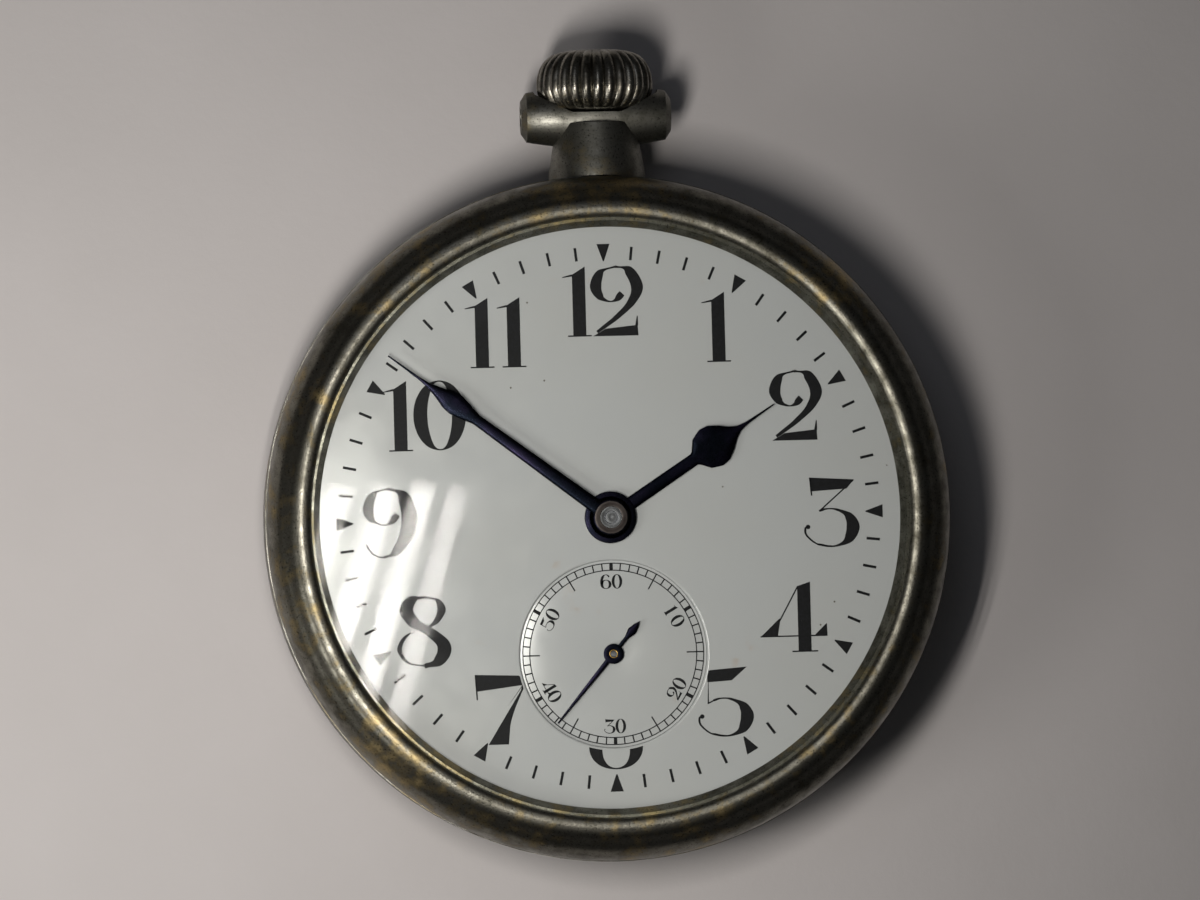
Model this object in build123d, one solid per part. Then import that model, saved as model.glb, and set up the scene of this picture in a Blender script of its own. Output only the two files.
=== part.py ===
from build123d import *
from math import atan2, cos, degrees, hypot, radians, sin, sqrt
import os

# Open face pocket watch: snap bezel, hinged back and dust cover, keyless lever movement with sub-seconds.
# Millimetres. Origin: centre of the flat of the back cover, where the watch rests.
# +Z goes from the back to the dial, +Y from the centre to 12 o'clock and the crown, +X to 3 o'clock.

os.makedirs("parts", exist_ok=True)

# ---------------------------------------------------------------- fits
RUN = 0.03            # radial clearance of a pivot or shaft in its hole
FACE_GAP = 0.10       # free space between two faces that pass each other
SKIN = 0.05           # how far covers stay inside the band's outer surface

# ---------------------------------------------------------------- case, across the watch
OPENING_R = 21.55     # dial opening of the bezel
BEZEL_W = 3.90        # bezel, from its opening to its outer edge
GLASS_LAP = 0.90      # how far the crystal reaches past the opening
DIAL_LAP = 0.35       # how far the dial reaches past the opening
BAND_WALL = 1.50
SPIGOT_INSET = 1.25   # bezel's outer edge to the outside of the band's spigot
CAVITY_INSET = 1.15   # bezel's outer edge to the wall of its cavity over the spigot
DIAL_CLEAR = 0.30     # free ring round the dial inside the band
DUST_CLEAR = 0.30     # free ring round the dust cover inside the band
FOOT_R = 12.0         # flat of the back cover
COVER_WALL = 0.55
CASE_R = OPENING_R + BEZEL_W + SKIN
COVER_R = CASE_R - SKIN
DIAL_R = OPENING_R + DIAL_LAP
GLASS_R = OPENING_R + GLASS_LAP
BAND_IN_R = CASE_R - BAND_WALL
DUST_R = BAND_IN_R - DUST_CLEAR

# ---------------------------------------------------------------- stack of levels, from the back to the front
COVER_DEPTH = 3.70
DUST_Z = 1.75
DUST_WALL = 0.35
DUST_RIM_H = 2.45
REGULATOR_T = 0.20
COCK_T = 0.80
BRIDGE_T = 1.10
TRAIN_SPACE = 2.70
PLATE_T = 1.40
FLANGE_T = 0.40
MOTION_SPACE = 1.20
DIAL_T = 0.70
BAND_DROP = 0.70      # back of the dial to the top of the band
SPIGOT_H = 1.00
LIP_GAP = 0.35        # dial to the bezel's lip
LIP_T = 0.25
BAND_Z = COVER_DEPTH + FACE_GAP
REGULATOR_Z = DUST_Z + DUST_WALL + 2 * FACE_GAP
COCK_Z = REGULATOR_Z + REGULATOR_T + FACE_GAP
BRIDGE_Z = COCK_Z + COCK_T + FACE_GAP
BRIDGE_TOP = BRIDGE_Z + BRIDGE_T
PLATE_Z = BRIDGE_TOP + TRAIN_SPACE
PLATE_TOP = PLATE_Z + PLATE_T
DIAL_Z = PLATE_TOP + MOTION_SPACE
DIAL_TOP = DIAL_Z + DIAL_T
BAND_TOP = DIAL_Z - BAND_DROP
SPIGOT_TOP = BAND_TOP + SPIGOT_H
BEZEL_LIP_Z = DIAL_TOP + LIP_GAP
GLASS_GAP = 1.20      # dial to the crystal's edge
GLASS_Z = DIAL_TOP + GLASS_GAP
GLASS_EDGE_T = 0.45
GLASS_MID_T = 0.90
GLASS_RISE = 0.80
BEZEL_PROUD = 0.45    # crystal's edge to the bezel's crest
BEZEL_TOP = GLASS_Z + GLASS_EDGE_T + BEZEL_PROUD

# ---------------------------------------------------------------- hinge of the covers, at 6 o'clock
HINGE_INSET = 0.75            # hinge axis to the band's outer surface
HINGE_DROP = 0.60             # hinge axis to the band's bottom
HINGE_Y = -(CASE_R - HINGE_INSET)
HINGE_Z = BAND_Z - HINGE_DROP
KNUCKLE_R = 0.55
PIN_R = 0.23
RELIEF_R = 1.00
RELIEF_END = 2.40             # how far the band is relieved past the knuckles
COVER_KNUCKLE = 1.10          # half length of the back cover's knuckle
DUST_KNUCKLE = 1.10           # length of each dust cover knuckle
BAND_KNUCKLE = 1.50           # length of each band knuckle
DUST_KNUCKLE_X = COVER_KNUCKLE + FACE_GAP
BAND_KNUCKLE_X = DUST_KNUCKLE_X + DUST_KNUCKLE + FACE_GAP
HINGE_END_X = BAND_KNUCKLE_X + BAND_KNUCKLE

# ---------------------------------------------------------------- pendant, crown and stem, along +Y
STEM_RISE = 1.40              # bridges to the stem's axis
STEM_Z = BRIDGE_TOP + STEM_RISE
STEM_R = 0.70
SQUARE = 0.80
STEM_PIVOT_R = 0.35
NECK_BASE_R = 3.60
NECK_TOP_R = 3.00
PENDANT_RISE = 4.60           # from the case's edge to the middle of the head
HEAD_HALF = 5.60
HEAD_R = 2.35
HEAD_SHOULDER_R = 1.85
HEAD_FACE_R = 1.25
HEAD_CHAMFER = 0.40
BOW_HOLE_R = 0.70
BOW_HOLE_DEEP = 1.20
SPIGOT_R = 1.90
CROWN_R = 4.33
CROWN_H = 4.60
CROWN_RIBS = 28
CROWN_PULL = 0.80
SEAT_RISE = 0.20              # middle of the head to the crown's seat
SEAT_R = 2.90
CROWN_GAP = 0.15
CROWN_SHANK = 0.60            # share of the crown's height that the stem reaches into
HEAD_Y = CASE_R + PENDANT_RISE
SEAT_Y = HEAD_Y + SEAT_RISE
CROWN_Y = SEAT_Y + CROWN_GAP
STEM_TIP_Y = CROWN_Y + CROWN_SHANK * CROWN_H

# ---------------------------------------------------------------- train: teeth, modules, levels
SECONDS_Y = 10.10
BARREL_TEETH, BARREL_M = 80, 0.18
CENTRE_LEAVES = 10
CENTRE_TEETH, CENTRE_M = 80, 0.15
THIRD_LEAVES = 10
THIRD_TEETH, THIRD_M = 75, 0.135
FOURTH_LEAVES = 10
FOURTH_TEETH, FOURTH_M = 80, 0.11
ESCAPE_LEAVES = 8
ESCAPE_TEETH = 15
ESCAPE_R = 3.40
MINUTE_DIST = 5.0             # cannon pinion to minute wheel
CANNON_LEAVES, MINUTE_TEETH = 12, 36
CANNON_M = 2 * MINUTE_DIST / (CANNON_LEAVES + MINUTE_TEETH)
MINUTE_LEAVES, HOUR_TEETH, HOUR_M = 10, 40, 0.20
SETTING_TEETH = 24
RATCHET_TEETH, CROWN_WHEEL_TEETH, WINDING_M = 50, 30, 0.22
CONTRATE_TEETH = 24
CONTRATE_R = 3.00
PINION_TEETH = 16
WHEEL_T = 0.25
THIN_WHEEL_T = 0.20
LEVEL_GAP = 0.25
UPPER_LEVEL_GAP = 0.30
CENTRE_WHEEL_Z = BRIDGE_TOP + LEVEL_GAP
THIRD_WHEEL_Z = CENTRE_WHEEL_Z + WHEEL_T + LEVEL_GAP
FOURTH_WHEEL_Z = THIRD_WHEEL_Z + THIN_WHEEL_T + UPPER_LEVEL_GAP
ESCAPE_Z = FOURTH_WHEEL_Z + WHEEL_T + UPPER_LEVEL_GAP
LEAF_LAP = 0.10               # how far leaves reach past the wheel that drives them
RATCHET_T = 0.45
RATCHET_Z = BRIDGE_Z - FACE_GAP - RATCHET_T

BARREL_R = 6.90
BARREL_WALL = 0.45
BARREL_FLOOR = 0.30
BARREL_ARBOR_R = 0.60
BARREL_CORE_R = 1.60
BARREL_GAP = 0.20
BARREL_TEETH_T = 0.45
BARREL_Z = CENTRE_WHEEL_Z + WHEEL_T + BARREL_GAP
BARREL_TOP = PLATE_Z - BARREL_GAP
BARREL_TEETH_Z = BARREL_Z + BARREL_FLOOR + 0.35
SPRING_T = 0.12
SPRING_TURNS = 9
ARBOR_R = 0.30
PIVOT_R = 0.12
SECONDS_ARBOR_R = 0.24
CENTRE_ARBOR_R = 0.45
CENTRE_BUSH_R = 1.20
CANNON_R = 0.80
HOUR_PIPE_R = 1.25
POST_R = 0.40
JEWEL_R = 0.50
JEWEL_T = 0.60
OIL_SINK_R = 0.30

# ---------------------------------------------------------------- escapement and balance
PALLET_REACH = 3.93           # escape wheel to pallet arbor
PALLET_TO_BALANCE = 4.47
ESCAPE_AT_DEG = -21.58        # direction of the escape wheel from the fourth wheel
LEVER_DEG = 44.4              # line through escape wheel, pallet arbor and balance
STONE_SPREAD_DEG = 30.0
STONE_CLEAR = 0.36
FORK_T = 0.20
BALANCE_R = 6.70
RIM_W = 0.60
RIM_T = 0.75
ARM_T = 0.30
TIMING_SCREWS = 14
SCREW_HEAD_H = 0.45
BALANCE_CLEAR = 0.30
STAFF_R = 0.35
COLLET_R = 0.75
ROLLER_R = 1.20
ROLLER_PIN_AT = 0.95
HAIR_T = 0.10
HAIR_H = 0.16
HAIR_PITCH = 0.46
HAIR_TURNS = 6
BALANCE_Z = BRIDGE_Z + 0.25

# ---------------------------------------------------------------- plate and bridges
PLATE_R = DIAL_R - 1.40
FLANGE_R = PLATE_R + 0.50
LEDGE_R = FLANGE_R - 0.40
BRIDGE_R = PLATE_R - 0.30
BRIDGE_SPLIT_Y = -2.60
BRIDGE_SLIT = 0.60
BRIDGE_RIGHT_X = 9.50
TRAIN_BRIDGE_RIGHT_X = 6.50
FOOT_POST_R = 1.80
SCREW_R = 0.45
SCREW_HEAD_R = 1.00
SCREW_HEAD_T = 0.50
SCREW_HOLE_DEEP = 0.80
SCREW_TIP_GAP = 0.05
SLOT_W = 0.28
COCK_HEAD_T = 0.45
CASE_SCREW_HEAD_R, CASE_SCREW_HEAD_T = 1.20, 0.40
PALLET_SCREW_HEAD_R, PALLET_SCREW_HEAD_T = 0.90, 0.40
WINDING_SCREW_R, WINDING_SCREW_T, WINDING_SHANK_R = 1.45, 0.35, 0.30
CROWN_POST_R = 0.80
GRUB_R = 0.28
BARREL_FEET = [(-14.6, 9.6), (8.2, 13.2), (-13.8, -0.2)]
TRAIN_FEET = [(-13.4, -8.2), (-5.5, -16.6), (3.2, -17.9)]
COCK_FOOT = (15.6, 6.4)
PALLET_FOOT = (10.8, -13.0)
CASE_SCREW_DEG = [12.0, 192.0]
CASE_SCREW_AT = PLATE_R - 0.90
DIAL_FOOT_DEG = [60.0, 180.0, 300.0]
DIAL_FOOT_AT = PLATE_R - 2.0
DIAL_FOOT_R = 0.50
GRUB_Z = PLATE_Z + 0.60
FOOT_HOLE_Z = PLATE_Z + 0.50

# ---------------------------------------------------------------- dial and hands
SECONDS_SINK_R = 6.95
SECONDS_DIAL_T = 0.30
SECONDS_FLANGE = 0.40
DIAL_HOLE_R = 1.60
HAND_T = 0.20
SECONDS_HAND_T = 0.15
HAND_GAP = 0.25       # dial to the hour hand
HANDS_APART = 0.30    # hour hand to the minute hand
HAND_TIP_HALF = 0.04
CAP_RISE = 0.15
HOUR_DEG, MINUTE_DEG, SECONDS_DEG = 56.8, 307.3, 220.2
HOUR_LENGTH, MINUTE_LENGTH = 14.75, 20.35
SECONDS_TIP_ROOM = 0.29
SECONDS_LENGTH = SECONDS_SINK_R - SECONDS_TIP_ROOM
SECONDS_TAIL = 3.00
HOUR_HUB_R, MINUTE_HUB_R, SECONDS_HUB_R = 1.92, 1.30, 0.75
SECONDS_HAND_Z = DIAL_TOP - SECONDS_HAND_T
HOUR_HAND_Z = DIAL_TOP + HAND_GAP
MINUTE_HAND_Z = HOUR_HAND_Z + HAND_T + HANDS_APART

# ---------------------------------------------------------------- places worked out from the gearing
CENTRE_AT = (0.0, 0.0)
FOURTH_AT = (0.0, -SECONDS_Y)


def pitch_r(teeth, module):
    """Pitch radius of a toothed wheel."""
    return teeth * module / 2


def polar(origin, radius, angle):
    """Point at a distance and direction (degrees from +X) from another point."""
    return (origin[0] + radius * cos(radians(angle)), origin[1] + radius * sin(radians(angle)))


def toward(start, end):
    """Direction from one point to another, in degrees from +X."""
    return degrees(atan2(end[1] - start[1], end[0] - start[0]))


def apart(start, end):
    """Distance between two points."""
    return hypot(end[0] - start[0], end[1] - start[1])


BARREL_DIST = pitch_r(BARREL_TEETH + CENTRE_LEAVES, BARREL_M)
THIRD_DIST = pitch_r(CENTRE_TEETH + THIRD_LEAVES, CENTRE_M)
FOURTH_DIST = pitch_r(THIRD_TEETH + FOURTH_LEAVES, THIRD_M)
ESCAPE_DIST = pitch_r(FOURTH_TEETH + ESCAPE_LEAVES, FOURTH_M)
BARREL_AT = polar(CENTRE_AT, BARREL_DIST, 120)
THIRD_DOWN = (SECONDS_Y ** 2 + THIRD_DIST ** 2 - FOURTH_DIST ** 2) / (2 * SECONDS_Y)
THIRD_AT = (-sqrt(THIRD_DIST ** 2 - THIRD_DOWN ** 2), -THIRD_DOWN)
ESCAPE_AT = polar(FOURTH_AT, ESCAPE_DIST, ESCAPE_AT_DEG)
PALLET_AT = polar(ESCAPE_AT, PALLET_REACH, LEVER_DEG)
BALANCE_AT = polar(PALLET_AT, PALLET_TO_BALANCE, LEVER_DEG)
MINUTE_WHEEL_AT = (0.0, pitch_r(CANNON_LEAVES + MINUTE_TEETH, CANNON_M))
SETTING_AT = (0.0, MINUTE_WHEEL_AT[1] + pitch_r(MINUTE_TEETH + SETTING_TEETH, CANNON_M))
CROWN_WHEEL_DIST = pitch_r(RATCHET_TEETH + CROWN_WHEEL_TEETH, WINDING_M)
CROWN_WHEEL_AT = (0.0, BARREL_AT[1] + sqrt(CROWN_WHEEL_DIST ** 2 - BARREL_AT[0] ** 2))
PINION_R = CONTRATE_R * PINION_TEETH / CONTRATE_TEETH
PINION_H = 1.00
PINION_Y = CROWN_WHEEL_AT[1] + CONTRATE_R - PINION_H / 2
PINION_BORE_R = SQUARE / 2 + 0.20
PINION_ROOM = 0.45            # free space round the winding pinion
PINION_WALL_Y = PINION_Y + PINION_H + 0.40
CLUTCH_R = 1.25
CLUTCH_H = 1.20
CLUTCH_Y = PINION_Y - FACE_GAP - CLUTCH_H
CLUTCH_DROP = 0.75 * CROWN_PULL
STEM_END_Y = CLUTCH_Y - CROWN_PULL - 0.90
BALANCE_SWING_R = BALANCE_R + SCREW_HEAD_H


# ---------------------------------------------------------------- basic shapes
def disc(radius, z_low, z_high, at=CENTRE_AT):
    """Upright cylinder between two levels."""
    body = Cylinder(radius, z_high - z_low, align=(Align.CENTER, Align.CENTER, Align.MIN))
    return Pos(at[0], at[1], z_low) * body


def tube(outer, inner, z_low, z_high, at=CENTRE_AT):
    """Upright tube between two levels."""
    return disc(outer, z_low, z_high, at) - disc(inner, z_low, z_high, at)


def rod_y(radius, y_low, y_high, x=0.0, z=STEM_Z):
    """Cylinder along +Y, on the stem's axis unless told otherwise."""
    body = Cylinder(radius, y_high - y_low, align=(Align.CENTER, Align.CENTER, Align.MIN))
    return Pos(x, y_low, z) * Rot(-90, 0, 0) * body


def rod_x(radius, x_low, x_high, y, z):
    """Cylinder along +X."""
    body = Cylinder(radius, x_high - x_low, align=(Align.CENTER, Align.CENTER, Align.MIN))
    return Pos(x_low, y, z) * Rot(0, 90, 0) * body


def block(x_low, x_high, y_low, y_high, z_low, z_high):
    """Box between two corners."""
    middle = Pos((x_low + x_high) / 2, (y_low + y_high) / 2, (z_low + z_high) / 2)
    return middle * Box(x_high - x_low, y_high - y_low, z_high - z_low)


def slab(sketch, z_low, z_high):
    """Flat shape drawn on the XY plane, raised between two levels."""
    return extrude(Pos(0, 0, z_low) * sketch, amount=z_high - z_low)


def outline(*lines):
    """Face inside a closed run of lines and curves."""
    return make_face([edge for line in lines for edge in line.edges()])


def spun(*lines):
    """Solid of revolution about Z from lines drawn as (radius, height)."""
    return revolve(Plane.XZ * outline(*lines), Axis.Z)


def spun_points(*points):
    """Solid of revolution about Z with straight walls."""
    return spun(Polyline(*points, close=True))


def spun_stem(*lines):
    """Solid of revolution about the stem's axis from lines drawn as (radius, y)."""
    return Pos(0, 0, STEM_Z) * revolve(outline(*lines), Axis.Y)


def dish_height(radius, edge_r, edge_z, middle_z):
    """Height of a shallow dome at a radius, from its edge and its middle."""
    return middle_z - (middle_z - edge_z) * (radius / edge_r) ** 2


def dome(edge_r, edge_z, middle_z):
    """Arc of a shallow dome from its middle to its edge."""
    half = edge_r / 2
    return ThreePointArc((0, middle_z), (half, dish_height(half, edge_r, edge_z, middle_z)), (edge_r, edge_z))


# ---------------------------------------------------------------- toothed wheels
# a tooth as (root height, tip height, half width at the root, half width at the tip), in modules
LEAF_FORM = (-1.40, 0.45, 0.42, 0.26)
TOOTH_FORM = (-1.20, 0.65, 0.80, 0.24)
RIM_DEPTH, HUB_WIDTH, ARM_WIDTH = 4.2, 0.75, 0.55


def teeth_face(teeth, module, phase, leaves=False):
    """Face of a toothed wheel with a tooth centred on the direction phase (degrees)."""
    low, high, low_half, high_half = LEAF_FORM if leaves else TOOTH_FORM
    root = pitch_r(teeth, module) + low * module
    tip = pitch_r(teeth, module) + high * module
    root_deg = degrees(low_half * module / root)
    tip_deg = degrees(high_half * module / tip)
    points = []
    for index in range(teeth):
        middle = phase + 360 * index / teeth
        points.append(polar(CENTRE_AT, root, middle - root_deg))
        points.append(polar(CENTRE_AT, tip, middle - tip_deg))
        points.append(polar(CENTRE_AT, tip, middle + tip_deg))
        points.append(polar(CENTRE_AT, root, middle + root_deg))
    return make_face(Polyline(*points, close=True))


def windows(inner, outer, arms, arm_w, turn=0.0):
    """Openings between the arms of a wheel."""
    ring = Circle(outer) - Circle(inner)
    bar = Pos(outer / 2, 0) * Rectangle(outer, arm_w)
    bars = [Rot(0, 0, turn + 360 * i / arms) * bar for i in range(arms)]
    return ring - bars


def wheel(teeth, module, phase, z_low, thick, at, bore, arms=4):
    """Spoked train wheel; its rim and hub follow its module."""
    rim_in = pitch_r(teeth, module) - RIM_DEPTH * module
    gaps = windows(bore + HUB_WIDTH, rim_in, arms, ARM_WIDTH)
    face = teeth_face(teeth, module, phase) - gaps - Circle(bore)
    return Pos(at[0], at[1], 0) * slab(face, z_low, z_low + thick)


def pinion(teeth, module, phase, z_low, z_high, at):
    """Solid pinion leaves."""
    return Pos(at[0], at[1], 0) * slab(teeth_face(teeth, module, phase, leaves=True), z_low, z_high)


def gap_phase(start, end, teeth):
    """Phase that puts a gap of the wheel at start towards the wheel at end."""
    return toward(start, end) + 180 / teeth


def arbor(at, leaves, module, phase, leaf_z, driven_t):
    """Train arbor with leaves and a pivot in each jewel."""
    low, high = BRIDGE_TOP + FACE_GAP, PLATE_Z - FACE_GAP
    body = disc(ARBOR_R, low, high, at)
    body += pinion(leaves, module, phase, leaf_z - LEAF_LAP, leaf_z + driven_t + LEAF_LAP, at)
    body += disc(PIVOT_R, BRIDGE_TOP - JEWEL_T + RUN, PLATE_Z + JEWEL_T - RUN, at)
    return body


# ---------------------------------------------------------------- screws
def screw(at, head_r, head_z, head_t, shank_r, tip_z, turn=35.0):
    """Slotted screw whose head faces the back of the watch."""
    body = disc(head_r, head_z, head_z + head_t, at) + disc(shank_r, head_z + head_t, tip_z, at)
    slot = Pos(at[0], at[1], head_z) * Rot(0, 0, turn) * Box(2.4 * head_r, SLOT_W, head_t)
    return body - slot


# ---------------------------------------------------------------- case
def case_middle():
    """Band with its ledge for the movement, the bezel's spigot, hinge knuckles and the pendant's hole."""
    spigot_out = COVER_R - SPIGOT_INSET
    spigot_in = DIAL_R + DIAL_CLEAR
    body = spun_points(
        (BAND_IN_R, BAND_Z), (CASE_R, BAND_Z), (CASE_R, BAND_TOP), (spigot_out, BAND_TOP),
        (spigot_out, SPIGOT_TOP), (spigot_in, SPIGOT_TOP), (spigot_in, PLATE_TOP - FLANGE_T),
        (LEDGE_R, PLATE_TOP - FLANGE_T), (LEDGE_R, PLATE_Z), (BAND_IN_R, PLATE_Z))
    body -= rod_x(RELIEF_R, -HINGE_END_X - RELIEF_END, HINGE_END_X + RELIEF_END, HINGE_Y, HINGE_Z)
    for side in (-1, 1):
        x_low, x_high = sorted((side * BAND_KNUCKLE_X, side * HINGE_END_X))
        web = block(x_low, x_high, HINGE_Y - 0.40, HINGE_Y + 0.45, HINGE_Z + 0.10, HINGE_Z + RELIEF_R + 0.20)
        body += web & disc(COVER_R, BAND_Z - 2, BAND_TOP)
        body += rod_x(KNUCKLE_R, x_low, x_high, HINGE_Y, HINGE_Z)
    body -= rod_x(PIN_R, -HINGE_END_X, HINGE_END_X, HINGE_Y, HINGE_Z)
    return body - rod_y(SPIGOT_R, 0.5 * CASE_R, CASE_R + 1)


def hinge_pin():
    """Steel pin through all the knuckles."""
    return rod_x(PIN_R, -HINGE_END_X, HINGE_END_X, HINGE_Y, HINGE_Z)


def back_cover():
    """Domed back with a flat to rest on and one knuckle; its edge is cut away round the other knuckles."""
    outer = Spline((FOOT_R, 0), (COVER_R - 7.4, 0.42), (COVER_R - 3.0, 1.45), (COVER_R - 0.75, 2.55),
                   (COVER_R, COVER_DEPTH), tangents=((1, 0), (0.15, 1)))
    wall = COVER_WALL
    inner = Spline((FOOT_R, wall), (COVER_R - 7.6, 0.42 + wall), (COVER_R - 3.4, 1.42 + wall),
                   (COVER_R - 1.25, 2.70 + 0.2), (COVER_R - wall, COVER_DEPTH), tangents=((1, 0), (0.15, 1)))
    rest = Polyline((FOOT_R, wall), (0, wall), (0, 0), (FOOT_R, 0))
    body = spun(outer, Line((COVER_R, COVER_DEPTH), (COVER_R - wall, COVER_DEPTH)), inner, rest)
    for side in (-1, 1):
        x_low, x_high = sorted((side * DUST_KNUCKLE_X - side * 0.02, side * (HINGE_END_X + FACE_GAP)))
        body -= block(x_low, x_high, -CASE_R - 1, HINGE_Y + 0.80, HINGE_Z - 0.65, BAND_Z)
    body += rod_x(KNUCKLE_R, -COVER_KNUCKLE, COVER_KNUCKLE, HINGE_Y, HINGE_Z)
    return body - rod_x(PIN_R + RUN, -HINGE_END_X, HINGE_END_X, HINGE_Y, HINGE_Z)


def dust_cover():
    """Inner cover between the back and the movement, with a rim in the band and two hinge arms."""
    flat_r, rim_z = DUST_R - 5.7, DUST_Z + DUST_RIM_H
    body = spun_points(
        (0, DUST_Z), (flat_r, DUST_Z), (DUST_R, rim_z - 1.0), (DUST_R, rim_z), (DUST_R - 0.5, rim_z),
        (DUST_R - 0.5, rim_z - 0.8), (flat_r, DUST_Z + DUST_WALL), (0, DUST_Z + DUST_WALL))
    for side in (-1, 1):
        x_low, x_high = sorted((side * DUST_KNUCKLE_X, side * (DUST_KNUCKLE_X + DUST_KNUCKLE)))
        body += block(x_low, x_high, HINGE_Y, -DUST_R + 0.30, HINGE_Z - 0.30, HINGE_Z + KNUCKLE_R)
        body += rod_x(KNUCKLE_R, x_low, x_high, HINGE_Y, HINGE_Z)
        body -= rod_x(PIN_R + RUN, x_low, x_high, HINGE_Y, HINGE_Z)
    return body


def bezel():
    """Wide convex ring with a cavity over the band's spigot and a groove for the crystal."""
    foot_z = BAND_TOP + SKIN
    cavity_r = COVER_R - CAVITY_INSET
    inside = Polyline(
        (COVER_R, foot_z), (cavity_r, foot_z), (cavity_r, SPIGOT_TOP + 0.15), (cavity_r - 1.7, BEZEL_LIP_Z),
        (OPENING_R, BEZEL_LIP_Z), (OPENING_R, BEZEL_LIP_Z + LIP_T),
        (OPENING_R + 0.45, GLASS_Z), (GLASS_R, GLASS_Z),
        (GLASS_R, GLASS_Z + GLASS_EDGE_T + 0.02), (GLASS_R - 0.25, GLASS_Z + GLASS_EDGE_T + 0.08),
        (GLASS_R - 0.15, BEZEL_TOP - 0.26))
    crest = Spline((GLASS_R - 0.15, BEZEL_TOP - 0.26), (GLASS_R + 0.6, BEZEL_TOP),
                   (COVER_R - 1.35, BEZEL_TOP - 0.62),
                   (COVER_R - 0.35, BEZEL_TOP - 1.85), (COVER_R, foot_z), tangents=((1, 1), (0, -1)))
    return spun(inside, crest)


def crystal():
    """Shallow domed glass seated in the bezel's groove."""
    low_z, high_z = GLASS_Z, GLASS_Z + GLASS_EDGE_T
    under = dome(GLASS_R, low_z, low_z + GLASS_RISE)
    over = dome(GLASS_R, high_z, low_z + GLASS_RISE + GLASS_MID_T)
    axis = Line((0, low_z + GLASS_RISE), (0, low_z + GLASS_RISE + GLASS_MID_T))
    return spun(under, over, axis, Line((GLASS_R, low_z), (GLASS_R, high_z)))


def pendant():
    """Conical neck and cross head with a dished seat for the crown, a bow hole in each end and a spigot."""
    neck = spun_stem(Polyline((0, CASE_R - 1.5), (NECK_BASE_R, CASE_R - 1.5), (NECK_BASE_R, CASE_R + 0.3),
                              (NECK_TOP_R, HEAD_Y - 0.6), (0, HEAD_Y), close=True))
    shoulder_x = HEAD_HALF - HEAD_CHAMFER
    swell = Spline((-shoulder_x, HEAD_SHOULDER_R), (0, HEAD_R), (shoulder_x, HEAD_SHOULDER_R))
    ends = Polyline((shoulder_x, HEAD_SHOULDER_R), (HEAD_HALF, HEAD_FACE_R), (HEAD_HALF, 0), (-HEAD_HALF, 0),
                    (-HEAD_HALF, HEAD_FACE_R), (-shoulder_x, HEAD_SHOULDER_R))
    head = Pos(0, HEAD_Y, STEM_Z) * revolve(outline(swell, ends), Axis.X)
    seat = spun_stem(Polyline((0, SEAT_Y), (SEAT_R, SEAT_Y), (CROWN_R + 0.35, SEAT_Y + 1.45),
                              (CROWN_R + 0.35, SEAT_Y + 4), (0, SEAT_Y + 4), close=True))
    body = neck - disc(CASE_R, 0, BEZEL_TOP + 2) + head - seat
    body += rod_y(SPIGOT_R, BAND_IN_R, HEAD_Y - 1)
    for side in (-1, 1):
        x_low, x_high = sorted((side * (HEAD_HALF - BOW_HOLE_DEEP), side * HEAD_HALF))
        body -= rod_x(BOW_HOLE_R, x_low, x_high, HEAD_Y, STEM_Z)
    return body - rod_y(STEM_R + 0.15, BAND_IN_R - 1, HEAD_Y + 4)


def crown():
    """Onion crown with convex ribs between its grooves, bored for the stem."""
    side = Spline((2.6, CROWN_Y), (CROWN_R, CROWN_Y + 0.42 * CROWN_H), (3.3, CROWN_Y + CROWN_H - 0.25),
                  tangents=((1, 0.25), (-1, 0.9)))
    top = Spline((3.3, CROWN_Y + CROWN_H - 0.25), (0, CROWN_Y + CROWN_H), tangents=((-1, 0.3), (-1, 0)))
    body = spun_stem(side, top, Polyline((0, CROWN_Y + CROWN_H), (0, CROWN_Y), (2.6, CROWN_Y)))
    grooves = [Pos(0, 0, STEM_Z) * Rot(0, 360 * (i + 0.5) / CROWN_RIBS, 0)
               * rod_y(0.24, CROWN_Y - 1, CROWN_Y + CROWN_H + 1, x=CROWN_R + 0.02, z=0) for i in range(CROWN_RIBS)]
    return body - grooves - rod_y(STEM_R, CROWN_Y - 1, STEM_TIP_Y)


# ---------------------------------------------------------------- keyless work
def winding_stem():
    """Stem: inner pivot, square for the clutch, round journals and the end that holds the crown."""
    square = block(-SQUARE / 2, SQUARE / 2, CLUTCH_Y - 0.60, PINION_Y,
                   STEM_Z - SQUARE / 2, STEM_Z + SQUARE / 2)
    body = rod_y(STEM_PIVOT_R, STEM_END_Y, PINION_Y) + square
    body += rod_y(PINION_BORE_R, PINION_Y, PINION_WALL_Y)
    return body + rod_y(STEM_R, PINION_WALL_Y - SKIN, STEM_TIP_Y)


def winding_pinion():
    """Pinion on the stem that drives the crown wheel's contrate teeth."""
    module = 2 * PINION_R / PINION_TEETH
    face = teeth_face(PINION_TEETH, module, 90, leaves=True) - Circle(PINION_BORE_R + RUN)
    return Pos(0, PINION_Y, STEM_Z) * Rot(-90, 0, 0) * extrude(face, amount=PINION_H)


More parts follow.
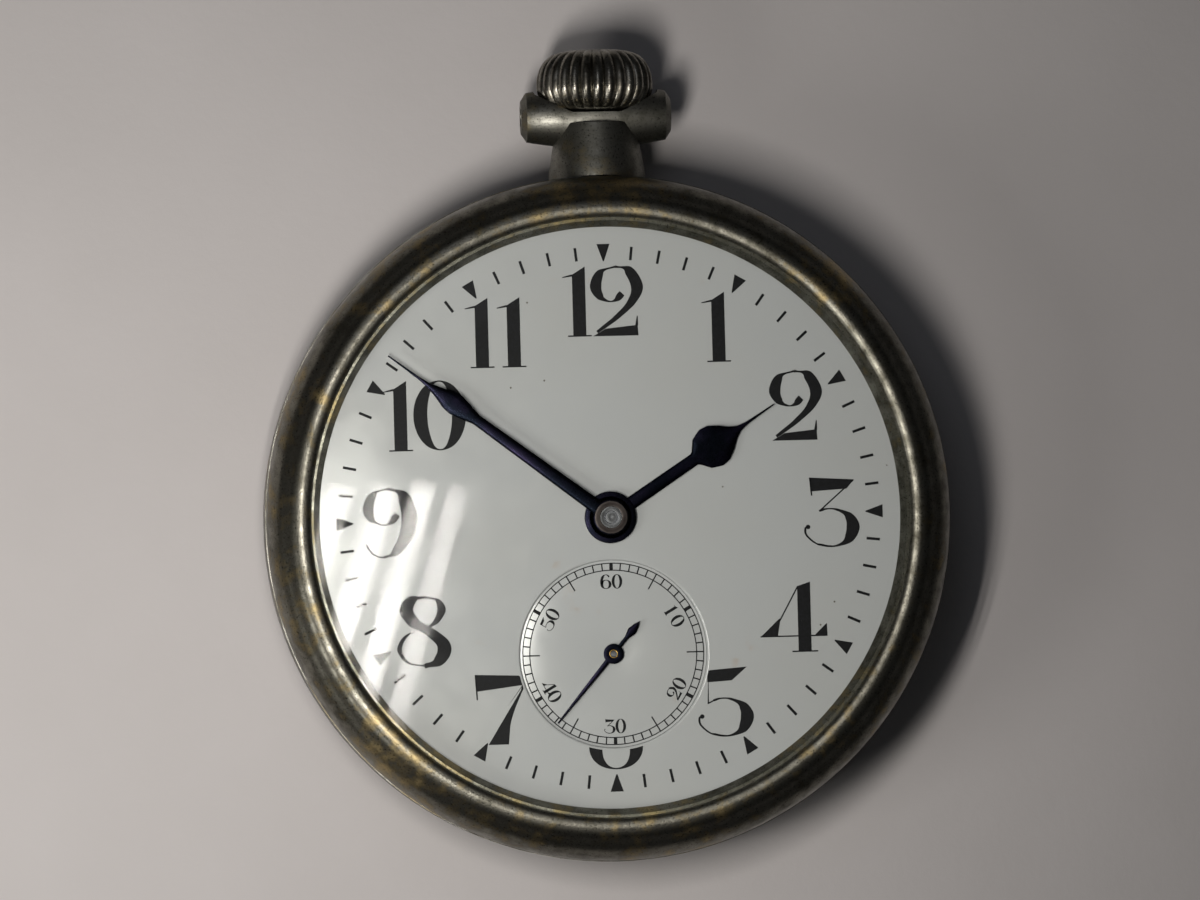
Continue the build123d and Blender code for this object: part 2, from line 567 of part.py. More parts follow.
def clutch_wheel():
    """Clutch with a square hole, a groove for the yoke and saw teeth at both ends."""
    body = rod_y(CLUTCH_R, CLUTCH_Y, CLUTCH_Y + CLUTCH_H)
    middle = CLUTCH_Y + CLUTCH_H / 2
    groove_low, groove_high = middle - 0.18, middle + 0.18
    body -= rod_y(CLUTCH_R, groove_low, groove_high) - rod_y(CLUTCH_R - 0.35, groove_low, groove_high)
    half = SQUARE / 2 + RUN
    body -= block(-half, half, CLUTCH_Y, CLUTCH_Y + CLUTCH_H, STEM_Z - half, STEM_Z + half)
    notch = block(-0.10, 0.10, CLUTCH_Y - 0.1, CLUTCH_Y + 0.15, 0.7, CLUTCH_R + 0.1)
    return body - [Pos(0, 0, STEM_Z) * Rot(0, 30 * i, 0) * notch for i in range(12)]


def crown_wheel():
    """Flat winding wheel with contrate teeth on its under face."""
    ratchet_dir = toward(CROWN_WHEEL_AT, BARREL_AT)
    face = teeth_face(CROWN_WHEEL_TEETH, WINDING_M, ratchet_dir) - Circle(CROWN_POST_R + RUN)
    body = slab(face, RATCHET_Z, RATCHET_Z + RATCHET_T)
    top = STEM_Z - PINION_R + 0.05
    body += tube(CONTRATE_R - 0.60, 1.20, RATCHET_Z + RATCHET_T, RATCHET_Z + RATCHET_T + 0.20)
    tooth = block(CONTRATE_R - 0.40, CONTRATE_R + 0.40, -0.16, 0.16, RATCHET_Z + RATCHET_T, top)
    body += [Rot(0, 0, 90 + 360 * (i + 0.5) / CONTRATE_TEETH) * tooth for i in range(CONTRATE_TEETH)]
    return Pos(CROWN_WHEEL_AT[0], CROWN_WHEEL_AT[1], 0) * body


def ratchet_wheel():
    """Winding wheel on the barrel arbor."""
    phase = gap_phase(BARREL_AT, CROWN_WHEEL_AT, RATCHET_TEETH)
    face = teeth_face(RATCHET_TEETH, WINDING_M, phase) - Circle(BARREL_ARBOR_R)
    return Pos(BARREL_AT[0], BARREL_AT[1], 0) * slab(face, RATCHET_Z, RATCHET_Z + RATCHET_T)


CLICK_AT = polar(BARREL_AT, pitch_r(RATCHET_TEETH, WINDING_M) + 2.30, 156)
CLICK_R = 0.95


def click():
    """Pawl beside the ratchet wheel; its nose stops just short of the tooth tips."""
    nose_at = polar(BARREL_AT, pitch_r(RATCHET_TEETH, WINDING_M) + 0.40, 172)
    root_a = polar(CLICK_AT, 0.8 * CLICK_R, toward(CLICK_AT, nose_at) + 90)
    root_b = polar(CLICK_AT, 0.8 * CLICK_R, toward(CLICK_AT, nose_at) - 90)
    face = make_face(Polyline(root_a, nose_at, root_b, close=True))
    face += Pos(CLICK_AT[0], CLICK_AT[1]) * Circle(CLICK_R)
    face -= Pos(CLICK_AT[0], CLICK_AT[1]) * Circle(POST_R + RUN)
    return slab(face, RATCHET_Z, RATCHET_Z + RATCHET_T)


def click_spring():
    """Bent wire spring with its foot, lying behind the click."""
    foot_at = polar(CLICK_AT, 4.2, 100)
    tail_at = polar(CLICK_AT, CLICK_R + 0.25, 185)
    bend_at = polar(CLICK_AT, 2.3, 150)
    blade = trace(ThreePointArc(foot_at, bend_at, tail_at), 0.2)
    face = blade + Pos(foot_at[0], foot_at[1]) * Circle(0.6)
    return slab(face, BRIDGE_Z - RATCHET_T, BRIDGE_Z)


# ---------------------------------------------------------------- barrel
def barrel_drum():
    """Drum with teeth round its wall and a floor on the plate's side."""
    face = teeth_face(BARREL_TEETH, BARREL_M, toward(BARREL_AT, CENTRE_AT)) - Circle(BARREL_R - BARREL_WALL)
    body = slab(face, BARREL_TEETH_Z, BARREL_TEETH_Z + BARREL_TEETH_T)
    body += tube(BARREL_R, BARREL_R - BARREL_WALL, BARREL_Z + BARREL_FLOOR, BARREL_TOP)
    body += tube(BARREL_R, BARREL_ARBOR_R + RUN, BARREL_TOP - BARREL_FLOOR, BARREL_TOP)
    return Pos(BARREL_AT[0], BARREL_AT[1], 0) * body


def barrel_cover():
    """Lid snapped on the drum, on the bridge's side."""
    return tube(BARREL_R, BARREL_ARBOR_R + RUN, BARREL_Z, BARREL_Z + BARREL_FLOOR, BARREL_AT)


def spiral(inner_r, pitch, turns, thick, z_low, z_high, at):
    """Spiral band made of half circles whose centres step from side to side."""
    step = pitch / 2
    outer_edge, inner_edge = [], []
    radius, centre, side = inner_r, 0.0, 1
    for _ in range(2 * turns):
        for run, r in ((outer_edge, radius + thick / 2), (inner_edge, radius - thick / 2)):
            start, end = (centre + side * r, 0), (centre - side * r, 0)
            run.append(ThreePointArc(start, (centre, side * r), end))
        centre += side * step
        radius += step
        side = -side
    caps = [Line(outer_edge[0] @ 0, inner_edge[0] @ 0), Line(outer_edge[-1] @ 1, inner_edge[-1] @ 1)]
    return Pos(at[0], at[1], 0) * slab(outline(*outer_edge, *inner_edge, *caps), z_low, z_high)


def mainspring():
    """Coiled blade between the arbor's core and the drum's wall."""
    room = BARREL_R - BARREL_WALL - BARREL_CORE_R - 0.9
    low, high = BARREL_Z + BARREL_FLOOR + 0.05, BARREL_TOP - BARREL_FLOOR - 0.05
    return spiral(BARREL_CORE_R + 0.2, room / SPRING_TURNS, SPRING_TURNS, SPRING_T, low, high, BARREL_AT)


def barrel_arbor():
    """Arbor with the spring's core, journals in bridge and plate and the seat of the ratchet wheel."""
    body = disc(BARREL_ARBOR_R, RATCHET_Z, PLATE_Z + 0.7, BARREL_AT)
    body += disc(BARREL_CORE_R, BARREL_Z + BARREL_FLOOR + 0.05, BARREL_TOP - BARREL_FLOOR - 0.05, BARREL_AT)
    return body - disc(WINDING_SHANK_R, RATCHET_Z, BRIDGE_Z + 0.4, BARREL_AT)


# ---------------------------------------------------------------- going train
def centre_arbor():
    """Centre arbor: pivot in the bridge, leaves for the barrel and a long end through the cannon pinion."""
    phase = gap_phase(CENTRE_AT, BARREL_AT, CENTRE_LEAVES)
    low, high = BARREL_TEETH_Z - LEAF_LAP, BARREL_TEETH_Z + BARREL_TEETH_T + LEAF_LAP
    body = disc(CENTRE_ARBOR_R, BRIDGE_Z, MINUTE_HAND_Z + HAND_T + 0.20)
    return body + pinion(CENTRE_LEAVES, BARREL_M, phase, low, high, CENTRE_AT)


def centre_wheel():
    """Wheel that turns once an hour."""
    phase = toward(CENTRE_AT, THIRD_AT)
    return wheel(CENTRE_TEETH, CENTRE_M, phase, CENTRE_WHEEL_Z, WHEEL_T, CENTRE_AT, CENTRE_ARBOR_R, arms=5)


def third_arbor():
    """Third arbor."""
    phase = gap_phase(THIRD_AT, CENTRE_AT, THIRD_LEAVES)
    return arbor(THIRD_AT, THIRD_LEAVES, CENTRE_M, phase, CENTRE_WHEEL_Z, WHEEL_T)


def third_wheel():
    """Third wheel."""
    phase = toward(THIRD_AT, FOURTH_AT)
    return wheel(THIRD_TEETH, THIRD_M, phase, THIRD_WHEEL_Z, THIN_WHEEL_T, THIRD_AT, ARBOR_R, arms=5)


def fourth_arbor():
    """Fourth arbor, which runs on through the plate to carry the seconds hand."""
    phase = gap_phase(FOURTH_AT, THIRD_AT, FOURTH_LEAVES)
    body = arbor(FOURTH_AT, FOURTH_LEAVES, THIRD_M, phase, THIRD_WHEEL_Z, THIN_WHEEL_T)
    return body + disc(SECONDS_ARBOR_R, PLATE_Z - FACE_GAP, SECONDS_HAND_Z + 0.25, FOURTH_AT)


def fourth_wheel():
    """Wheel that turns once a minute."""
    phase = toward(FOURTH_AT, ESCAPE_AT)
    return wheel(FOURTH_TEETH, FOURTH_M, phase, FOURTH_WHEEL_Z, WHEEL_T, FOURTH_AT, ARBOR_R, arms=5)


def escape_arbor():
    """Escape arbor."""
    phase = gap_phase(ESCAPE_AT, FOURTH_AT, ESCAPE_LEAVES)
    return arbor(ESCAPE_AT, ESCAPE_LEAVES, FOURTH_M, phase, FOURTH_WHEEL_Z, WHEEL_T)


def escape_wheel():
    """Escape wheel with raked club teeth."""
    root = 0.77 * ESCAPE_R
    points = []
    for index in range(ESCAPE_TEETH):
        start = 360 * index / ESCAPE_TEETH
        for radius, lead in ((root, 0.0), (ESCAPE_R, 8.0), (ESCAPE_R, 11.5), (root, 7.5)):
            points.append(polar(CENTRE_AT, radius, start + lead))
    face = make_face(Polyline(*points, close=True))
    face -= windows(ARBOR_R + 0.5, root - 0.5, 4, 0.4) + Circle(ARBOR_R)
    return Pos(ESCAPE_AT[0], ESCAPE_AT[1], 0) * slab(face, ESCAPE_Z, ESCAPE_Z + THIN_WHEEL_T)


# ---------------------------------------------------------------- escapement
STONE_AT = [polar(ESCAPE_AT, ESCAPE_R + STONE_CLEAR, LEVER_DEG + s * STONE_SPREAD_DEG) for s in (-1, 1)]
SLOT_AT = PALLET_TO_BALANCE - ROLLER_PIN_AT


def pallet_fork():
    """Lever with two pallet arms and a forked end at the roller."""
    tail = Rot(0, 0, LEVER_DEG) * Pos(SLOT_AT / 2, 0) * Rectangle(SLOT_AT, 0.40)
    horns = Rot(0, 0, LEVER_DEG) * Pos(SLOT_AT, 0) * Rectangle(0.70, 1.10)
    slot = Rot(0, 0, LEVER_DEG) * Pos(SLOT_AT + 0.15, 0) * Rectangle(0.75, 0.46)
    face = tail + horns - slot + Circle(0.65)
    for stone in STONE_AT:
        reach = apart(PALLET_AT, stone)
        face += Rot(0, 0, toward(PALLET_AT, stone)) * Pos(reach / 2, 0) * Rectangle(reach, 0.55)
    face = Pos(PALLET_AT[0], PALLET_AT[1]) * (face - Circle(0.25))
    for stone in STONE_AT:
        slot = Rot(0, 0, toward(ESCAPE_AT, stone)) * Pos(0.10, 0) * Rectangle(0.70, 0.26)
        face -= Pos(stone[0], stone[1]) * slot
    return slab(face, ESCAPE_Z, ESCAPE_Z + FORK_T)


def pallet_stones():
    """Two ruby pallets set in the arms."""
    stones = []
    for at in STONE_AT:
        face = Pos(at[0], at[1]) * Rot(0, 0, toward(ESCAPE_AT, at)) * Pos(0.10, 0) * Rectangle(0.70, 0.26)
        stones.append(slab(face, ESCAPE_Z - 0.02, ESCAPE_Z + FORK_T + 0.02))
    return Compound(children=stones)


PALLET_COCK_Z = ESCAPE_Z - 1.10
PALLET_COCK_T = 0.60


def pallet_arbor():
    """Pallet arbor between its own cock and the plate."""
    body = disc(0.25, PALLET_COCK_Z + PALLET_COCK_T + FACE_GAP, PLATE_Z - FACE_GAP, PALLET_AT)
    return body + disc(PIVOT_R, PALLET_COCK_Z + RUN, PLATE_Z + JEWEL_T - RUN, PALLET_AT)


def balance_wheel():
    """Balance: rim, one arm right across and a hub."""
    rim_in = BALANCE_R - RIM_W
    body = tube(BALANCE_R, rim_in, BALANCE_Z, BALANCE_Z + RIM_T)
    arm = Rectangle(2 * rim_in + 0.1, 0.90) + Circle(1.10)
    body += slab(Rot(0, 0, 20) * arm, BALANCE_Z + 0.05, BALANCE_Z + 0.05 + ARM_T) & disc(BALANCE_R, 0, 9)
    return Pos(BALANCE_AT[0], BALANCE_AT[1], 0) * (body - disc(STAFF_R, 0, 9))


def timing_screws():
    """Round-headed screws set round the balance rim."""
    head = rod_x(0.32, BALANCE_R, BALANCE_SWING_R, 0, BALANCE_Z + RIM_T / 2)
    turns = [20 + 360 * (i + 0.5) / TIMING_SCREWS for i in range(TIMING_SCREWS)]
    seat = disc(BALANCE_R, 0, 9)
    place = Pos(BALANCE_AT[0], BALANCE_AT[1], 0)
    return Compound(children=[place * Rot(0, 0, t) * (head - seat) for t in turns])


def balance_staff():
    """Balance staff with the hairspring's collet and two fine pivots."""
    body = disc(STAFF_R, BRIDGE_Z - 0.05, PLATE_Z - FACE_GAP, BALANCE_AT)
    body += disc(COLLET_R, BRIDGE_Z, BRIDGE_Z + 0.20, BALANCE_AT)
    return body + disc(PIVOT_R, COCK_Z + 0.25, PLATE_Z + JEWEL_T - RUN, BALANCE_AT)


ROLLER_Z = ESCAPE_Z - 0.35


def roller():
    """Roller table with its safety notch and the hole of the impulse pin."""
    body = tube(ROLLER_R, STAFF_R, ROLLER_Z, ROLLER_Z + 0.20, BALANCE_AT)
    pin_at = polar(BALANCE_AT, ROLLER_PIN_AT, LEVER_DEG + 180)
    return body - disc(0.15, ROLLER_Z, ROLLER_Z + 0.20, pin_at)


def impulse_pin():
    """Ruby pin of the roller; it ends just above the fork."""
    pin_at = polar(BALANCE_AT, ROLLER_PIN_AT, LEVER_DEG + 180)
    return disc(0.15, ROLLER_Z, ESCAPE_Z - 0.05, pin_at)


def hairspring():
    """Flat spiral spring from the collet to its stud."""
    low = BRIDGE_Z + 0.02
    flat = spiral(COLLET_R + 0.15, HAIR_PITCH, HAIR_TURNS, HAIR_T, low, low + HAIR_H, CENTRE_AT)
    turn = toward(BALANCE_AT, COCK_FOOT)
    return Pos(BALANCE_AT[0], BALANCE_AT[1], 0) * Rot(0, 0, turn) * flat


HAIR_OUT_R = COLLET_R + 0.15 + HAIR_TURNS * HAIR_PITCH


def hairspring_stud():
    """Stud under the balance cock that holds the spring's outer end."""
    at = polar(BALANCE_AT, HAIR_OUT_R + HAIR_T / 2 + 0.35, toward(BALANCE_AT, COCK_FOOT))
    return disc(0.35, COCK_Z + COCK_T, BRIDGE_Z + 0.20, at)


def regulator():
    """Regulator on the cock's boss, with a long pointer and a short tail."""
    pointer = Polyline((0, -0.45), (5.6, -0.10), (5.6, 0.10), (0, 0.45), close=True)
    tail = Pos(-1.6, 0) * Rectangle(2.0, 0.5)
    face = make_face(pointer) + tail + Circle(1.35) - Circle(0.72)
    turn = toward(BALANCE_AT, COCK_FOOT) + 55
    place = Pos(BALANCE_AT[0], BALANCE_AT[1], 0)
    return place * slab(Rot(0, 0, turn) * face, REGULATOR_Z, REGULATOR_Z + REGULATOR_T)


# ---------------------------------------------------------------- plate, bridges and what holds them
def main_plate():
    """Main plate: flange, dial-side posts, stem bearings, pocket for the winding pinion and every hole."""
    body = disc(PLATE_R, PLATE_Z, PLATE_TOP) + disc(FLANGE_R, PLATE_TOP - FLANGE_T, PLATE_TOP)
    body += disc(POST_R, PLATE_TOP, DIAL_Z - 0.35, MINUTE_WHEEL_AT)
    body += disc(POST_R, PLATE_TOP, DIAL_Z - 0.35, SETTING_AT)
    outer_block = block(-2.6, 2.6, PINION_WALL_Y, PLATE_R, BRIDGE_TOP, PLATE_Z)
    outer_block &= disc(BRIDGE_R, BRIDGE_TOP, PLATE_Z)
    inner_block = block(-0.8, 1.6, STEM_END_Y - 0.1, CLUTCH_Y - CLUTCH_DROP - 0.12, BRIDGE_TOP, PLATE_Z)
    body += outer_block + inner_block
    body -= rod_y(STEM_R + RUN, PINION_WALL_Y, PLATE_R + 1)
    body -= rod_y(STEM_PIVOT_R + RUN, STEM_END_Y - 0.2, CLUTCH_Y)
    pocket = PINION_R + PINION_ROOM
    body -= block(-pocket, pocket, PINION_Y - 0.3, PINION_WALL_Y, PLATE_Z, STEM_Z + pocket)
    body -= disc(CENTRE_BUSH_R, PLATE_Z, PLATE_TOP)
    body -= disc(BARREL_ARBOR_R + RUN, PLATE_Z, PLATE_Z + 0.8, BARREL_AT)
    body -= disc(JEWEL_R, PLATE_Z, PLATE_TOP, FOURTH_AT)
    for at in (THIRD_AT, ESCAPE_AT, PALLET_AT, BALANCE_AT):
        body -= disc(JEWEL_R, PLATE_Z, PLATE_Z + JEWEL_T, at)
    for at in BARREL_FEET + TRAIN_FEET + [COCK_FOOT, PALLET_FOOT]:
        body -= disc(SCREW_R, PLATE_Z, PLATE_Z + SCREW_HOLE_DEEP, at)
    for angle in CASE_SCREW_DEG:
        body -= disc(SCREW_R, PLATE_Z, PLATE_Z + SCREW_HOLE_DEEP, polar(CENTRE_AT, CASE_SCREW_AT, angle))
    for angle in DIAL_FOOT_DEG:
        body -= disc(DIAL_FOOT_R, FOOT_HOLE_Z, PLATE_TOP, polar(CENTRE_AT, DIAL_FOOT_AT, angle))
        body -= Rot(0, 0, angle) * rod_x(GRUB_R, DIAL_FOOT_AT + DIAL_FOOT_R, FLANGE_R, 0, GRUB_Z)
    return body


def fixed_jewels():
    """Ruby bearings set in plate, bridges and cocks, and the bushes of the centre arbor."""
    bore = PIVOT_R + RUN
    in_plate = (THIRD_AT, ESCAPE_AT, PALLET_AT, BALANCE_AT)
    in_bridge = (THIRD_AT, FOURTH_AT, ESCAPE_AT)
    rings = [tube(JEWEL_R, bore, PLATE_Z, PLATE_Z + JEWEL_T, at) for at in in_plate]
    rings += [tube(JEWEL_R, bore, BRIDGE_TOP - JEWEL_T, BRIDGE_TOP, at) for at in in_bridge]
    rings.append(tube(JEWEL_R, SECONDS_ARBOR_R + RUN, PLATE_Z, PLATE_TOP, FOURTH_AT))
    rings.append(tube(JEWEL_R, bore, PALLET_COCK_Z, PALLET_COCK_Z + PALLET_COCK_T, PALLET_AT))
    rings.append(tube(JEWEL_R, bore, COCK_Z + 0.20, COCK_Z + COCK_T, BALANCE_AT))
    rings.append(disc(0.45, REGULATOR_Z, COCK_Z + 0.20, BALANCE_AT))
    rings.append(tube(CENTRE_BUSH_R, CENTRE_ARBOR_R + RUN, PLATE_Z, PLATE_TOP))
    rings.append(tube(CENTRE_BUSH_R, CENTRE_ARBOR_R + RUN, BRIDGE_Z, BRIDGE_TOP))
    return Compound(children=rings)


def bridge_feet(spots):
    """Posts that stand a bridge off the plate."""
    return [disc(FOOT_POST_R, BRIDGE_TOP, PLATE_Z, at) for at in spots]


def drilled(body, spots):
    """Body with a counterbored screw hole at each spot."""
    for at in spots:
        body -= disc(SCREW_R, BRIDGE_Z, PLATE_Z, at)
        body -= disc(SCREW_HEAD_R + RUN, BRIDGE_Z, BRIDGE_Z + SCREW_HEAD_T, at)
    return body


def balance_space():
    """Round space that the balance swings in."""
    return Pos(BALANCE_AT[0], BALANCE_AT[1]) * Circle(BALANCE_SWING_R + BALANCE_CLEAR)


def barrel_bridge():
    """Upper bridge: holds barrel, centre arbor and crown wheel, with a window over the winding pinion."""
    width, height = BRIDGE_RIGHT_X + BRIDGE_R, BRIDGE_R - BRIDGE_SPLIT_Y
    region = Pos(BRIDGE_RIGHT_X - width / 2, BRIDGE_SPLIT_Y + height / 2) * Rectangle(width, height)
    body = slab((Circle(BRIDGE_R) & region) - balance_space(), BRIDGE_Z, BRIDGE_TOP)
    body += bridge_feet(BARREL_FEET)
    body -= disc(pitch_r(CROWN_WHEEL_TEETH, WINDING_M) + 0.35, BRIDGE_Z, BRIDGE_TOP - 0.30, CROWN_WHEEL_AT)
    body += disc(CROWN_POST_R, RATCHET_Z, BRIDGE_TOP, CROWN_WHEEL_AT)
    body += disc(POST_R, RATCHET_Z, BRIDGE_Z, CLICK_AT)
    body -= disc(WINDING_SHANK_R, RATCHET_Z, BRIDGE_Z + 0.5, CROWN_WHEEL_AT)
    reach = PINION_R + PINION_ROOM
    body -= block(-reach, reach, PINION_Y - 0.3, PINION_WALL_Y, BRIDGE_Z, BRIDGE_TOP)
    body -= disc(CENTRE_BUSH_R, BRIDGE_Z, BRIDGE_TOP)
    body -= disc(BARREL_ARBOR_R + RUN, BRIDGE_Z, BRIDGE_TOP, BARREL_AT)
    return drilled(body, BARREL_FEET)


def train_bridge():
    """Lower bridge: holds the third, fourth and escape arbors."""
    top_y = BRIDGE_SPLIT_Y - BRIDGE_SLIT
    width, height = TRAIN_BRIDGE_RIGHT_X + BRIDGE_R, top_y + BRIDGE_R
    region = Pos(TRAIN_BRIDGE_RIGHT_X - width / 2, top_y - height / 2) * Rectangle(width, height)
    body = slab((Circle(BRIDGE_R) & region) - balance_space(), BRIDGE_Z, BRIDGE_TOP)
    body += bridge_feet(TRAIN_FEET)
    body -= disc(1.60, BRIDGE_Z, BRIDGE_TOP, polar(CENTRE_AT, CASE_SCREW_AT, CASE_SCREW_DEG[1]))
    for at in (THIRD_AT, FOURTH_AT, ESCAPE_AT):
        body -= disc(JEWEL_R, BRIDGE_TOP - JEWEL_T, BRIDGE_TOP, at)
        body -= disc(OIL_SINK_R, BRIDGE_Z, BRIDGE_TOP, at)
    return drilled(body, TRAIN_FEET)


def bar_between(start, start_r, end, end_r):
    """Flat bar with round ends of two sizes."""
    ends = (Pos(start[0], start[1]) * Circle(start_r)).edges() + (Pos(end[0], end[1]) * Circle(end_r)).edges()
    return make_hull(ends)


def pallet_cock():
    """Small cock over the pallet arbor, on one foot."""
    top = PALLET_COCK_Z + PALLET_COCK_T
    body = slab(bar_between(PALLET_AT, 1.10, PALLET_FOOT, 1.30), PALLET_COCK_Z, top)
    body += disc(1.30, top, PLATE_Z, PALLET_FOOT)
    body -= disc(JEWEL_R, PALLET_COCK_Z, top, PALLET_AT)
    return body - disc(SCREW_R, PALLET_COCK_Z, PLATE_Z, PALLET_FOOT)


def balance_cock():
    """Cock over the balance, with a boss for the regulator."""
    top = COCK_Z + COCK_T
    body = slab(bar_between(BALANCE_AT, 2.20, COCK_FOOT, 2.60), COCK_Z, top)
    body += disc(2.20, top, PLATE_Z, COCK_FOOT) + disc(0.70, REGULATOR_Z, COCK_Z, BALANCE_AT)
    body -= disc(0.45, REGULATOR_Z, COCK_Z + 0.20, BALANCE_AT) + disc(JEWEL_R, COCK_Z + 0.20, top, BALANCE_AT)
    body -= disc(SCREW_R, COCK_Z, PLATE_Z, COCK_FOOT)
    body -= disc(SCREW_HEAD_R + RUN, COCK_Z, COCK_Z + COCK_HEAD_T, COCK_FOOT)
    return body


def bridge_screws():
    """Screws of the bridges and cocks."""
    tip = PLATE_Z + SCREW_HOLE_DEEP - SCREW_TIP_GAP
    screws = []
    for index, at in enumerate(BARREL_FEET + TRAIN_FEET):
        screws.append(screw(at, SCREW_HEAD_R, BRIDGE_Z, SCREW_HEAD_T, SCREW_R, tip, 25 + 47 * index))
    screws.append(screw(COCK_FOOT, SCREW_HEAD_R, COCK_Z, COCK_HEAD_T, SCREW_R, tip, 70))
    screws.append(screw(PALLET_FOOT, PALLET_SCREW_HEAD_R, PALLET_COCK_Z - PALLET_SCREW_HEAD_T, PALLET_SCREW_HEAD_T,
                        SCREW_R, tip, 10))
    return Compound(children=screws)


def case_screws():
    """Screws whose heads reach over the band's ledge and hold the movement."""
    spots = [polar(CENTRE_AT, CASE_SCREW_AT, angle) for angle in CASE_SCREW_DEG]
    head_z, tip = PLATE_Z - CASE_SCREW_HEAD_T, PLATE_Z + SCREW_HOLE_DEEP - SCREW_TIP_GAP
    made = [screw(at, CASE_SCREW_HEAD_R, head_z, CASE_SCREW_HEAD_T, SCREW_R, tip) for at in spots]
    return Compound(children=made)


def dial_screws():
    """Grub screws in the plate's edge that grip the dial feet."""
    grub = rod_x(GRUB_R, DIAL_FOOT_AT + DIAL_FOOT_R, PLATE_R - FACE_GAP, 0, GRUB_Z)
    return Compound(children=[Rot(0, 0, angle) * grub for angle in DIAL_FOOT_DEG])


def winding_screw(at, shank_tip):
    """Broad flat screw of a winding wheel."""
    head_z = RATCHET_Z - WINDING_SCREW_T
    return screw(at, WINDING_SCREW_R, head_z, WINDING_SCREW_T, WINDING_SHANK_R, shank_tip, 60)


def ratchet_screw():
    """Screw that holds the ratchet wheel on the barrel arbor."""
    return winding_screw(BARREL_AT, BRIDGE_Z + 0.35)


def crown_wheel_screw():
    """Screw that holds the crown wheel on its post."""
    return winding_screw(CROWN_WHEEL_AT, BRIDGE_Z + 0.45)


# ---------------------------------------------------------------- motion work, dials and hands
CANNON_Z = PLATE_TOP + 0.05
MINUTE_WHEEL_Z = PLATE_TOP + FACE_GAP
HOUR_WHEEL_Z = MINUTE_WHEEL_Z + WHEEL_T + 0.15


def cannon_pinion():
    """Cannon pinion, friction-tight on the centre arbor; the minute hand sits on its pipe."""
    phase = toward(CENTRE_AT, MINUTE_WHEEL_AT)
    body = pinion(CANNON_LEAVES, CANNON_M, phase, CANNON_Z, HOUR_WHEEL_Z - SKIN, CENTRE_AT)
    body += disc(CANNON_R, CANNON_Z, MINUTE_HAND_Z + HAND_T + 0.05)
    return body - disc(CENTRE_ARBOR_R + RUN, CANNON_Z, MINUTE_HAND_Z + 1)


def minute_wheel():
    """Minute wheel with the pinion that drives the hour wheel, on a post of the plate."""
    phase = gap_phase(MINUTE_WHEEL_AT, CENTRE_AT, MINUTE_TEETH)
    body = wheel(MINUTE_TEETH, CANNON_M, phase, MINUTE_WHEEL_Z, WHEEL_T, MINUTE_WHEEL_AT, POST_R + RUN)
    hub_top = HOUR_WHEEL_Z + WHEEL_T + LEAF_LAP
    hour_phase = toward(MINUTE_WHEEL_AT, CENTRE_AT)
    body += pinion(MINUTE_LEAVES, HOUR_M, hour_phase, MINUTE_WHEEL_Z + WHEEL_T, hub_top, MINUTE_WHEEL_AT)
    return body - disc(POST_R + RUN, MINUTE_WHEEL_Z, hub_top, MINUTE_WHEEL_AT)


def hour_wheel():
    """Hour wheel and the pipe of the hour hand."""
    phase = gap_phase(CENTRE_AT, MINUTE_WHEEL_AT, HOUR_TEETH)
    body = wheel(HOUR_TEETH, HOUR_M, phase, HOUR_WHEEL_Z, WHEEL_T, CENTRE_AT, CANNON_R + RUN)
    body += tube(HOUR_PIPE_R, CANNON_R + RUN, HOUR_WHEEL_Z, HOUR_HAND_Z + HAND_T + SKIN)
    return body


def setting_wheel():
    """Setting wheel between the clutch and the minute wheel, on a post of the plate."""
    minute_phase = gap_phase(MINUTE_WHEEL_AT, CENTRE_AT, MINUTE_TEETH)
    pitch = 360 / MINUTE_TEETH
    offset = ((90 - minute_phase) / pitch) % 1.0
    phase = -90 + (0.5 + offset) * 360 / SETTING_TEETH
    return wheel(SETTING_TEETH, CANNON_M, phase, MINUTE_WHEEL_Z, WHEEL_T, SETTING_AT, POST_R + RUN)


def hand_face(length, hub_r, root_w, swell, start_slope, needle_slope):
    """Flat hand that points along +Y: straight shaft, a curve through the swell's (half width, distance)
    points, which starts at the shaft's end and ends in the neck, and a straight needle from there to the tip."""
    tip = (HAND_TIP_HALF, length)
    leaf = Spline(*swell, tangents=(start_slope, needle_slope))
    right = [Line((root_w / 2, 0), swell[0]), leaf, Line(swell[-1], tip)]
    left = [mirror(line, Plane.YZ) for line in right]
    ends = [Line((root_w / 2, 0), (-root_w / 2, 0)), Line(tip, (-tip[0], length))]
    return outline(*right, *left, *ends) + Circle(hub_r)


def hour_hand():
    """Pear hand on the hour wheel's pipe: a round bulb drawn out into a needle."""
    bulb = [(0.47, 7.57), (1.60, 9.10), (1.06, 10.20), (0.35, 11.15), (0.13, 11.80)]
    face = hand_face(HOUR_LENGTH, HOUR_HUB_R, 1.00, bulb, (1, 0.1), (-0.1, 1)) - Circle(HOUR_PIPE_R)
    body = slab(face, HOUR_HAND_Z, HOUR_HAND_Z + HAND_T)
    body += tube(HOUR_HUB_R, HOUR_PIPE_R, HOUR_HAND_Z - SKIN, HOUR_HAND_Z + HAND_T + SKIN)
    return Rot(0, 0, -HOUR_DEG) * body


def minute_hand():
    """Slender leaf hand on the cannon pinion, with a raised cap."""
    leaf = [(0.40, 12.30), (0.82, 14.40), (0.32, 15.90), (0.13, 16.90)]
    face = hand_face(MINUTE_LENGTH, MINUTE_HUB_R, 1.10, leaf, (0.05, 1), (-0.05, 1)) - Circle(CANNON_R)
    body = slab(face, MINUTE_HAND_Z, MINUTE_HAND_Z + HAND_T)
    body += tube(MINUTE_HUB_R, CANNON_R, MINUTE_HAND_Z, MINUTE_HAND_Z + HAND_T + CAP_RISE)
    return Rot(0, 0, -MINUTE_DEG) * body


